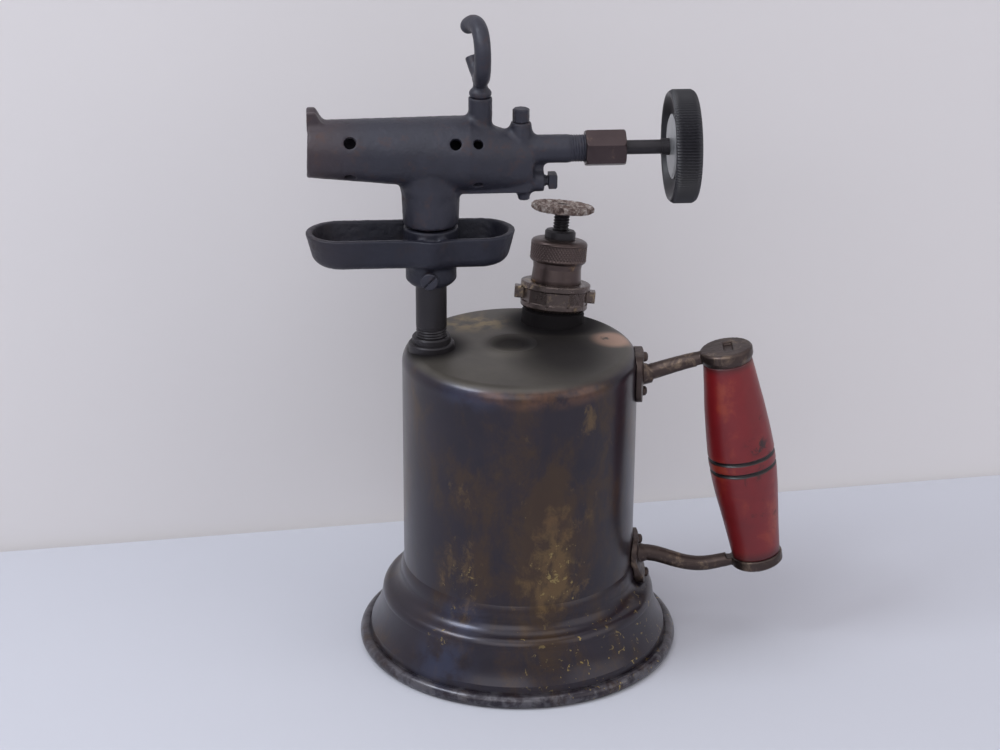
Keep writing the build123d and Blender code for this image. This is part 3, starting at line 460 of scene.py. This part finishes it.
def skirt_chips(m, x, z):
    """Chips down to bright brass over the skirt, most on its right front."""
    skirt = m.step(z, 0.036, 0.028)
    to_right = m.step(m.add(m.noise(36, 3), m.times(x, 3.0)), 0.50, 0.62)
    return m.times(m.step(m.noise(330, 4, 0.6, 0.9), 0.635, 0.66), skirt, to_right)


def blue_highlight(m):
    """Where a painted blue highlight goes: the left of the shoulder and of the skirt."""
    shoulder = m.near((-0.024, -0.042, 0.1395), 0.012, 0.8, (1, 1, 2.2))
    skirt = m.most(m.near((-0.038, -0.052, 0.014), 0.012, 0.8), m.near((-0.030, -0.047, 0.032), 0.009, 0.8))
    return m.times(m.most(shoulder, skirt), m.step(m.noise(110, 5), 0.30, 0.60))


def wall_patina(m, z, warm, fleck):
    """Colour of the wall and skirt: purple black, hazed with brown and rubbed through to brass."""
    dark = m.mix(m.noise(34, 4, 0.55), (0.0080, 0.0070, 0.0150), (0.026, 0.017, 0.024))
    brown = m.mix(m.noise(60, 5), (0.030, 0.014, 0.010), (0.058, 0.032, 0.013))
    streaks = m.noise(62, 8, 0.70, 0.3, at=m.map(scale=(1, 1, 0.55)))
    haze = m.near((0.0, -0.052, 0.072), 0.036, 0.7, (1.0, 0.7, 0.7))
    hazed = m.add(streaks, m.times(haze, 0.10), m.times(warm, 0.10))
    body = m.mix(m.step(hazed, 0.47, 0.72), dark, brown)
    fine_streaks = m.noise(120, 8, 0.72, 0.3, at=m.map(scale=(1, 1, 0.66)))
    patch = m.step(m.add(fine_streaks, m.times(warm, 0.20)), 0.63, 0.82)
    rubbed = m.mix(m.noise(90, 3), (0.13, 0.062, 0.026), (0.19, 0.125, 0.040))
    body = m.mix(m.times(patch, 0.6), body, rubbed)
    # Painted bluish highlight over the left of the shoulder and of the skirt
    body = m.mix(m.times(blue_highlight(m), 0.45), body, (0.045, 0.060, 0.120))
    # Grey scuffed bead at the foot
    bead = m.times(m.step(z, 0.0066, 0.0050), m.step(m.noise(150, 6, 0.65, 0.4), 0.40, 0.60))
    scuffed = m.mix(m.noise(260, 4), (0.060, 0.058, 0.072), (0.14, 0.13, 0.14))
    body = m.mix(m.times(bead, 0.85), body, scuffed)
    gold = m.mix(m.noise(180, 5), (0.20, 0.135, 0.045), (0.36, 0.28, 0.12))
    body = m.mix(fleck, body, gold)
    # Copper tint along the front of the shoulder
    front = m.near((0.008, -0.0495, 0.1395), 0.021, 0.6, (0.75, 1.0, 4.5))
    copper = m.times(front, m.step(m.noise(70, 5, 0.6), 0.36, 0.66))
    return m.mix(m.times(copper, 0.6), body, (0.17, 0.080, 0.040))


def top_patina(m):
    """Colour of the flat top, with painted shade in its dimple, a painted highlight on the dimple's rim, a
    painted dark reflection of the pump, and darker places round the feet of the fittings; and a mask of the
    dimple and these dark places.
    """
    tone = m.mix(m.noise(50, 6, 0.6, 0.4), (0.052, 0.046, 0.042), (0.112, 0.100, 0.082))
    pale = m.near((-0.018, 0.029, TANK_TOP), 0.017, 0.7, (1, 1.5, 1))
    pale = m.times(pale, m.step(m.noise(95, 6, 0.6), 0.42, 0.62))
    tone = m.mix(pale, tone, (0.23, 0.175, 0.095))
    pink = m.near((0.0415, 0.004, TANK_TOP), 0.0085, 0.35)
    pink = m.times(pink, m.step(m.noise(130, 5), 0.36, 0.44))
    tone = m.mix(pink, tone, (0.42, 0.270, 0.200))
    # Painted shade darkens the hollow of the dimple
    dimple_shade = m.near((DIMPLE_X, -0.0005, 0.1445), 0.0105, 0.45, (1, 1, 0.5))
    tone = m.mix(m.times(dimple_shade, 0.80), tone, (0.016, 0.014, 0.014))
    # Painted highlight on the near rim of the dimple
    dimple_highlight = m.near((DIMPLE_X, -0.0100, TANK_TOP), 0.0055, 0.9, (0.55, 1, 1))
    tone = m.mix(m.times(dimple_highlight, 0.45), tone, (0.20, 0.180, 0.145))
    # Painted dark reflection of the pump, in front of it on the top
    pump_reflection = m.times(m.near((0.018, -0.010, TANK_TOP), 0.020, 0.6, (1, 0.65, 1)), 0.85)
    # Darker round the feet of the pump and the post, joined with the painted reflection
    dark_feet_and_reflection = m.most(m.near(PUMP_FOOT, 0.023, 0.30), m.near(POST_FOOT, 0.015, 0.4), pump_reflection)
    tone = m.mix(m.times(dark_feet_and_reflection, 0.92), tone, (0.008, 0.007, 0.009))
    return tone, m.most(dark_feet_and_reflection, dimple_shade)


def tank_skin():
    """Patinated brass: glossy dark wall and skirt, dull olive grey top."""
    m = Paint("TankPatina")
    x, _, z = m.axes()
    side = m.step(z, 0.1405, 0.1432, 1.0, 0.0)
    warm = 0.0
    for place, radius, weight in WARM_PLACES:
        warm = m.add(m.times(m.near(place, radius, 0.9, (1.0, 1.0, 0.62)), weight), warm)
    fine_wear = m.noise(260, 8, 0.72, 0.4)
    fleck = m.step(m.add(fine_wear, m.times(warm, 0.12)), 0.735, 0.765)
    fleck = m.most(fleck, skirt_chips(m, x, z))
    # Mask of the top's dark places: painted shade in the dimple, the painted reflection of the pump and the
    # darker feet of the fittings
    top_tone, darkening = top_patina(m)
    gloom = m.times(darkening, m.math("SUBTRACT", 1.0, side))
    rough_top = m.blend(gloom, 0.44, 0.66)
    rough_side = m.blend(fleck, m.blend(m.noise(80, 5), 0.24, 0.38), 0.42)
    height = m.add(m.times(fine_wear, 0.5), m.times(m.noise(900, 4, 0.6), 0.25))
    m.bump(m.math("SUBTRACT", height, m.times(fleck, 0.4)), 0.00010, 0.6)
    return m.set(
        colour=m.mix(side, top_tone, wall_patina(m, z, warm, fleck)),
        metal=m.blend(fleck, 0.45, 0.9),
        rough=m.blend(side, rough_top, rough_side),
        coat=m.times(side, 0.25),
        coat_rough=0.2,
        specular=m.blend(gloom, 0.5, 0.10),
    )


# The grip's two blackened grooves and its ends, in mm down from its cap
GROOVES = (51.7, 57.4)
GRIP_ENDS = (6.23, 102.67)


def red_lacquer():
    """Rubbed red paint on the grip, with blackened grooves and grimy ends."""
    m = Paint("RedLacquer")
    colour = m.mix(m.noise(60, 5, 0.6, 0.3), (0.105, 0.003, 0.006), (0.225, 0.008, 0.010))
    grain = m.noise(120, 5, 0.6, 0.2, at=m.map(turn=(0, TILT, 0), scale=(1, 1, 0.12)))
    orange = m.step(m.add(m.noise(60, 6, 0.62, 0.4), m.times(grain, 0.5)), 0.78, 0.98)
    colour = m.mix(m.times(orange, 0.5), colour, (0.30, 0.050, 0.018))
    dark = m.step(m.noise(75, 7, 0.7, 0.7), 0.60, 0.70)
    colour = m.mix(m.times(dark, 0.7), colour, (0.020, 0.006, 0.006))
    # Distance down the grip's leaning axis
    x, y, z = m.axes()
    away = m.add(m.times(x, float(OUT[0])), m.times(y, float(OUT[1])), -GRIP_OUT * MM)
    down = m.add(m.times(away, math.sin(TILT)), m.times(m.add(z, -GRIP_TOP * MM), -math.cos(TILT)))
    ragged = m.times(m.math("SUBTRACT", m.noise(160, 3), 0.5), 0.0007)
    down = m.add(down, ragged)
    darkening = 0.0
    for groove in GROOVES:
        off = m.math("ABSOLUTE", m.add(down, -groove * MM))
        darkening = m.most(m.step(off, 0.0007, 0.0013, 1.0, 0.0), darkening)
    ends = m.most(m.step(down, 0.010, GRIP_ENDS[0] * MM), m.step(down, 0.097, 0.1025))
    spot = m.near((0.1053, -0.0220, 0.1010), 0.0060, 0.5, (1, 1, 1.6))
    spot = m.times(spot, m.step(m.noise(240, 5, 0.65), 0.42, 0.58))
    darkening = m.most(darkening, m.times(ends, 0.6), m.times(spot, 0.9))
    m.bump(m.noise(300, 5, 0.55), 0.00012, 0.6)
    return m.set(
        colour=m.mix(darkening, colour, (0.006, 0.004, 0.005)),
        metal=0.0,
        rough=m.blend(dark, 0.40, 0.55),
        coat=0.14,
        coat_rough=0.2,
    )


def corroded():
    """Zinc eaten white and brown."""
    m = Paint("CorrodedZinc")
    blotch = m.noise(420, 7, 0.7, 0.5)
    colour = m.ramp(
        blotch,
        (0.34, (0.028, 0.018, 0.016)),
        (0.46, (0.130, 0.085, 0.072)),
        (0.56, (0.30, 0.25, 0.22)),
        (0.72, (0.56, 0.54, 0.52)),
    )
    m.bump(m.noise(700, 6, 0.7), 0.00045, 0.9)
    return m.set(colour=colour, metal=0.15, rough=0.72)


iron_black = iron("CastIronBlack", (0.026, 0.026, 0.038), (0.070, 0.040, 0.036), 0.46)
iron_pan = iron("PanIron", (0.0145, 0.015, 0.026), (0.034, 0.025, 0.028), 0.48)
tank_paint = tank_skin()
dark_metal = plain("DarkFitting", (0.026, 0.023, 0.026), 0.42, 0.5, 500, 0.00008)
worn_brass = aged_brass("WornBrass", (0.105, 0.082, 0.075), (0.42, 0.32, 0.20), 0.55, 0.72, (0.20, 0.36))
pump_bronze = aged_brass("PumpBronze", (0.085, 0.062, 0.058), (0.26, 0.17, 0.10), 0.58, 0.76, (0.26, 0.44))
bronze_nut = aged_brass("BronzeNut", (0.058, 0.042, 0.043), (0.17, 0.115, 0.09), 0.56, 0.74, (0.28, 0.42))
handle_bronze = aged_brass("HandleBronze", (0.066, 0.048, 0.043), (0.24, 0.175, 0.125), 0.50, 0.72, (0.3, 0.46))
red_paint = red_lacquer()
wheel_black = plain("WheelBlack", (0.018, 0.017, 0.021), 0.36, 0.0, 800, 0.00003)
disc_grey = plain("DiscGrey", (0.42, 0.43, 0.44), 0.4, 0.85, 500, 0.00005)
zinc_white = corroded()
steel_dark = plain("SteelDark", (0.10, 0.09, 0.085), 0.42, 0.9, 500, 0.00006)
leather_brown = plain("LeatherBrown", (0.10, 0.045, 0.018), 0.65, 0.0, 900, 0.0002)
graphite = plain("GraphitedPacking", (0.03, 0.03, 0.032), 0.6, 0.1, 1200, 0.0001)
cotton = plain("WickCotton", (0.36, 0.30, 0.20), 0.9, 0.0, 1500, 0.0003)
fibre = plain("FibreGasket", (0.06, 0.025, 0.016), 0.7, 0.0, 900, 0.0001)

SLOT_PAINT = {
    "tank_brass": tank_paint,
    "dark_fitting": dark_metal,
    "burner_iron": iron_black,
    "bronze_nut": bronze_nut,
    "worn_brass": worn_brass,
    "pump_bronze": pump_bronze,
    "handle_bronze": handle_bronze,
    "red_wood": red_paint,
    "black_wheel": wheel_black,
    "pale_metal": disc_grey,
    "corroded_zinc": zinc_white,
    "steel": steel_dark,
    "leather": leather_brown,
    "packing": graphite,
    "wick_cotton": cotton,
    "gasket": fibre,
}

# The CAD nodes that stay visible get the material of their slot
for part in frame["record"]["subparts"]:
    data = NODES[part["node"]].data
    data.materials.clear()
    data.materials.append(SLOT_PAINT[part["material_slot"]])


# ---------------------------------------------------------------- pieces

def screw(pitch, depth, start, end):
    """Wobble for a V thread between two places along the axis. Points near the axis stay put."""

    def change(a, r, s):
        phase = (s / pitch - a / (2 * math.pi)) % 1.0
        cut = np.abs(phase * 2 - 1)
        inside = np.clip((s - start) / 0.6, 0, 1) * np.clip((end - s) / 0.6, 0, 1)
        return r - depth * cut * inside * (r > 2.0), s

    return change


# The flame tube's axis runs from its rear to its mouth, which is a little higher
TUBE_REAR_X, TUBE_REAR_Z = -23.0, 233.4
TUBE_MOUTH_X, TUBE_MOUTH_Z = -92.1, 236.3
TUBE_RISE = (TUBE_MOUTH_Z - TUBE_REAR_Z) / (TUBE_MOUTH_X - TUBE_REAR_X)
DRILL_START, DRILL_LENGTH = 6.0, 14.0

# Three rings of air holes: place along x, radius, and the angles round the tube in degrees
AIR_HOLES = []
for hole_x, hole_r, ways in (
    (-74.0, 2.5, (29, 151, 230, 310)),
    (-29.3, 2.4, (29, 151)),
    (-19.6, 2.05, (31, 149, 230, 310)),
):
    centre_z = TUBE_REAR_Z + (hole_x - TUBE_REAR_X) * TUBE_RISE
    for way in ways:
        out_y, out_z = math.cos(math.radians(way)), math.sin(math.radians(way))
        start = (hole_x, DRILL_START * out_y, centre_z + DRILL_START * out_z)
        AIR_HOLES.append((start, (0, out_y, out_z), hole_r, DRILL_LENGTH))

# Cast and forged pieces with soft edges: name, node, voxel, smoothing, lump height, lump size,
# inside corner radius, body, slot, material
for name, node, voxel, smooth, lumps, cell, corner, body, slot, material in (
    ("BurnerBody", "burner_casting", 0.45, 4, 0.10, 2.2, 1.9, "tank", "burner_iron", iron_black),
    ("PanBody", "drip_pan", 0.42, 5, 0.10, 2.4, 1.2, "pan", "burner_iron", iron_pan),
    ("HookBody", "iron_hook", 0.28, 5, 0.08, 1.8, 1.0, "tank", "burner_iron", iron_black),
    ("UpperBracket", "upper_handle_bracket", 0.34, 4, 0.06, 1.4, 0, "tank", "handle_bronze", handle_bronze),
    ("LowerBracket", "lower_handle_bracket", 0.34, 4, 0.06, 1.4, 0, "tank", "handle_bronze", handle_bronze),
    ("UnionNut", "pump_union_nut", 0.24, 2, 0.04, 1.2, 0, "tank", "worn_brass", worn_brass),
    ("PackingNut", "packing_nut", 0.18, 3, 0.03, 1.0, 0, "tank", "bronze_nut", bronze_nut),
    ("TopPlug", "top_cleanout_plug", 0.20, 3, 0.05, 1.0, 0, "tank", "burner_iron", iron_black),
    ("RearPlug", "rear_cleanout_plug", 0.20, 3, 0.05, 1.0, 0, "tank", "burner_iron", iron_black),
    ("PumpWheelBody", "pump_wheel", 0.22, 1, 0.20, 1.1, 0, "pump_spindle", "corroded_zinc", zinc_white),
):
    holes = AIR_HOLES if node == "burner_casting" else ()
    mesh = cast(name, node, voxel, smooth, lumps, cell, corner, holes)
    piece(name, mesh, body, material, [node])

# Thread of the valve tube between the tube's shoulder and the packing nut
THREAD_START, THREAD_END = 20.6, 27.2
thread = [(4.6, THREAD_START), (6.0, THREAD_START), (6.0, THREAD_END), (4.6, THREAD_END)]
thread_mesh = turned("ValveThread", VALVE, fine(thread, 0.14), 96, screw(1.15, 0.55, THREAD_START, 27.3))
piece("ValveThread", thread_mesh, "tank", iron_black)

# Riser pipe with its thread above the bushing
PIPE_FOOT, PIPE_HEAD = 137.0, 214.0
pipe = [(4.6, PIPE_FOOT), (6.85, PIPE_FOOT), (6.85, PIPE_HEAD), (4.6, PIPE_HEAD)]
pipe_mesh = turned("RiserPipe", POST, fine(pipe, 0.25), 96, screw(1.27, 0.5, 149.0, 154.6))
piece("RiserPipe", pipe_mesh, "tank", dark_metal, ["post_pipe"])


# Valve wheel with straight ribs round its rim
RIB_COUNT = 116
STEPS_PER_RIB = 8
WHEEL_RIM = 24.6


def ribs(a, r, s):
    rim = np.clip((r - (WHEEL_RIM - 1.2)) / 1.0, 0, 1)
    wave = 0.5 - 0.5 * np.cos(a * RIB_COUNT)
    return r - rim * 0.75 * wave ** 0.7, s


# Its outline: front of the hub and dish, rounded edge of the rim, then the back
wheel = [(2.2, 66.25), (9.6, 66.25), (10.2, 67.8), (10.6, 68.8), (15.0, 68.8), (17.2, 68.6), (18.8, 68.2)]
wheel += [(20.6, 66.4), (21.9, 64.2), (22.3, 63.75), (22.8, 63.6), (23.2, 63.65), (23.6, 63.95), (24.1, 64.6)]
wheel += [(WHEEL_RIM, s) for s in (65.5, 66.6, 68.0, 69.4, 70.8, 72.2, 73.2)]
wheel += [(24.1, 74.2), (23.6, 74.8), (23.0, 75.1), (21.6, 75.1), (21.0, 74.9), (20.4, 74.2)]
wheel += [(18.6, 73.1), (7.0, 72.5), (6.4, 72.9), (6.0, 73.9), (2.2, 73.9)]
wheel_mesh = turned("ValveWheelBody", VALVE, wheel, RIB_COUNT * STEPS_PER_RIB, ribs)
soft_shade(wheel_mesh, 50)
piece("ValveWheelBody", wheel_mesh, "valve_spindle", wheel_black, ["valve_wheel"])


# Pump cap with diagonal knurling on its side
CAP_RADIUS = 12.9
KNURL_PITCH = 1.5


def knurl(a, r, s):
    side = np.clip((r - (CAP_RADIUS - 0.2)) / 0.15, 0, 1)
    band = np.clip((s - 29.5) / 0.5, 0, 1) * np.clip((36.8 - s) / 0.5, 0, 1)
    one = np.abs(((s * 0.75 + a * CAP_RADIUS) / KNURL_PITCH) % 1.0 * 2 - 1)
    two = np.abs(((s * 0.75 - a * CAP_RADIUS) / KNURL_PITCH) % 1.0 * 2 - 1)
    return r - side * band * 0.42 * (1 - np.minimum(one, two)), s


cap = [(10.64, 28.2), (11.9, 28.2), (12.5, 28.7), (CAP_RADIUS, 29.6), (CAP_RADIUS, 36.6)]
cap += [(12.75, 37.2), (12.3, 37.9), (11.5, 38.4), (10.6, 38.7), (8.6, 39.0)]
cap += [(5.0, 39.0), (5.0, 35.8), (10.64, 35.8)]
cap_mesh = turned("PumpCapBody", PUMP, fine(cap, 0.3), 360, knurl)
soft_shade(cap_mesh, 45)
piece("PumpCapBody", cap_mesh, "tank", pump_bronze, ["pump_cap"])

# Pump rod: plain below, threaded where it shows
rod = [(0.0, -64.0), (1.6, -64.0), (1.6, -53.8), (2.6, -53.8), (2.6, -21.0), (3.72, -20.0)]
rod += [(3.72, 51.2), (2.6, 51.2), (2.6, 54.4), (0.0, 54.4)]
rod_mesh = turned("PumpRodBody", PUMP, fine(rod, 0.17), 72, screw(1.35, 0.62, -19.0, 51.1))
soft_shade(rod_mesh, 60)
piece("PumpRodBody", rod_mesh, "pump_spindle", dark_metal, ["pump_rod"])


# Wooden handle, turned with two grooves
def grip_radius(s):
    """Radius at these places down the grip, on a smooth curve through a few knots."""
    knots_s = np.array([GRIP_ENDS[0], 18.0, 30.0, 42.0, 54.5, 67.0, 80.0, 91.0, GRIP_ENDS[1]])
    knots_r = np.array([11.1, 12.45, 13.8, 14.8, 15.35, 14.75, 13.4, 12.15, 11.1])
    h = np.diff(knots_s)
    slope = np.gradient(knots_r, knots_s)
    i = np.clip(np.searchsorted(knots_s, s) - 1, 0, len(h) - 1)
    t = (s - knots_s[i]) / h[i]
    r = (
        (2 * t**3 - 3 * t**2 + 1) * knots_r[i]
        + (t**3 - 2 * t**2 + t) * h[i] * slope[i]
        + (-2 * t**3 + 3 * t**2) * knots_r[i + 1]
        + (t**3 - t**2) * h[i] * slope[i + 1]
    )
    for groove in GROOVES:
        r = r - 0.95 * np.exp(-(((s - groove) / 0.62) ** 2))
    return r


# Rings are closer together round the grooves
BOLT_HOLE = 2.6
upper = np.linspace(GRIP_ENDS[0], 49.0, 60)
lower = np.linspace(60.4, GRIP_ENDS[1], 60)
along = np.concatenate([upper, np.linspace(49.2, 60.0, 90), lower])
grip = [(float(r), float(s)) for r, s in zip(grip_radius(along), along)]
grip = [(BOLT_HOLE, GRIP_ENDS[0])] + grip + [(BOLT_HOLE, GRIP_ENDS[1])]


def hand_worn(a, r, s):
    p = np.stack([r * np.cos(a), r * np.sin(a), s], -1).reshape(-1, 3)
    broad = value_noise(p, 9.0, 11).reshape(r.shape)
    small = value_noise(p, 3.0, 12).reshape(r.shape)
    return r + np.where(r > 5, broad * 0.10 + small * 0.03 - 0.12, 0), s


grip_mesh = turned("WoodGrip", GRIP, grip, 144, hand_worn)
grip_mesh.shade_smooth()
piece("WoodGrip", grip_mesh, "tank", red_paint, ["wood_handle"])


# ---------------------------------------------------------------- stage

def stage_paint(name, colour, rough):
    return Paint(name).set(colour=colour, rough=rough)


def wall_paint(name, colour, rough):
    """A wall seen only from its front, so that a view from behind looks through it."""
    m = Paint(name)
    m.set(colour=colour, rough=rough)
    nodes, link = m.tree.nodes, m.tree.links.new
    mix = nodes.new("ShaderNodeMixShader")
    link(nodes.new("ShaderNodeNewGeometry").outputs["Backfacing"], mix.inputs[0])
    link(m.shader.outputs[0], mix.inputs[1])
    link(nodes.new("ShaderNodeBsdfTransparent").outputs[0], mix.inputs[2])
    link(mix.outputs[0], nodes["Material Output"].inputs["Surface"])
    return m.mat


def flat_sheet(name, corners, material):
    mesh = bpy.data.meshes.new(name)
    mesh.from_pydata(corners, [], [tuple(range(len(corners)))])
    mesh.materials.append(material)
    obj = bpy.data.objects.new(name, mesh)
    bpy.context.scene.collection.objects.link(obj)
    return obj


# The camera looks along the direction YAW degrees right of +y and PITCH below level
CAM_AT = Vector((-0.0886, -0.9700, 0.5300))
YAW, PITCH, ROLL = math.radians(4.7), math.radians(22.36), math.radians(0.343)
level = Vector((math.sin(YAW), math.cos(YAW), 0))
up = Vector((0, 0, 1))
ahead = math.cos(PITCH) * level - math.sin(PITCH) * up
right = Vector((math.cos(YAW), -math.sin(YAW), 0))
over = math.sin(PITCH) * level + math.cos(PITCH) * up
cam_right = math.cos(ROLL) * right + math.sin(ROLL) * over
cam_up = -math.sin(ROLL) * right + math.cos(ROLL) * over
camera_data = bpy.data.cameras.new("Camera")
camera_data.lens = 84.78
camera_data.sensor_width = 36.0
camera_data.sensor_fit = "HORIZONTAL"
camera_data.clip_start = 0.02
camera = bpy.data.objects.new("Camera", camera_data)
bpy.context.scene.collection.objects.link(camera)
turned_axes = Matrix((cam_right, cam_up, -ahead)).transposed().to_4x4()
camera.matrix_world = Matrix.Translation(CAM_AT) @ turned_axes
bpy.context.scene.camera = camera

# The table is a pale sheet whose far edge is further away at its right end
EDGE_LEFT, EDGE_RIGHT = -0.0884, 0.3404
GAP = 0.005
floor = flat_sheet(
    "Floor",
    [(-2.0, -2.0, 0), (2.0, -2.0, 0), (2.0, EDGE_RIGHT, 0), (-2.0, EDGE_LEFT, 0)],
    stage_paint("FloorPale", (0.545, 0.550, 0.600), 0.65),
)
backdrop = flat_sheet(
    "Backdrop",
    [
        (-2.0, EDGE_LEFT + GAP, -0.3),
        (2.0, EDGE_RIGHT + GAP, -0.3),
        (2.0, EDGE_RIGHT + GAP, 1.8),
        (-2.0, EDGE_LEFT + GAP, 1.8),
    ],
    wall_paint("BackdropPale", (0.75, 0.72, 0.72), 0.9),
)


def lamp(name, at, aim, power, wide, high, colour):
    data = bpy.data.lights.new(name, "AREA")
    data.shape = "RECTANGLE"
    data.size, data.size_y = wide, high
    data.energy = power
    data.color = colour
    obj = bpy.data.objects.new(name, data)
    bpy.context.scene.collection.objects.link(obj)
    obj.location = at
    obj.rotation_euler = (Vector(aim) - Vector(at)).to_track_quat("-Z", "Y").to_euler()


lamp("KeyWindow", (-0.98, -0.28, 1.42), (0, 0, 0.12), 11, 0.62, 0.42, (0.86, 0.93, 1.0))
lamp("FrontSoft", (-0.5, -1.5, 1.3), (0, 0, 0.12), 9, 1.5, 1.2, (0.97, 0.97, 1.0))
lamp("FillRight", (1.5, -0.9, 1.0), (0, 0, 0.12), 6, 1.6, 1.4, (1.0, 0.97, 0.95))
lamp("TopSoft", (0.1, -0.2, 1.9), (0, 0, 0.1), 6, 1.6, 1.2, (0.96, 0.97, 1.0))

world = bpy.data.worlds.new("Room")
world.use_nodes = True
world.node_tree.nodes["Background"].inputs["Color"].default_value = (0.78, 0.79, 0.86, 1)
world.node_tree.nodes["Background"].inputs["Strength"].default_value = 0.62
bpy.context.scene.world = world
bpy.context.scene.view_settings.view_transform = "Standard"
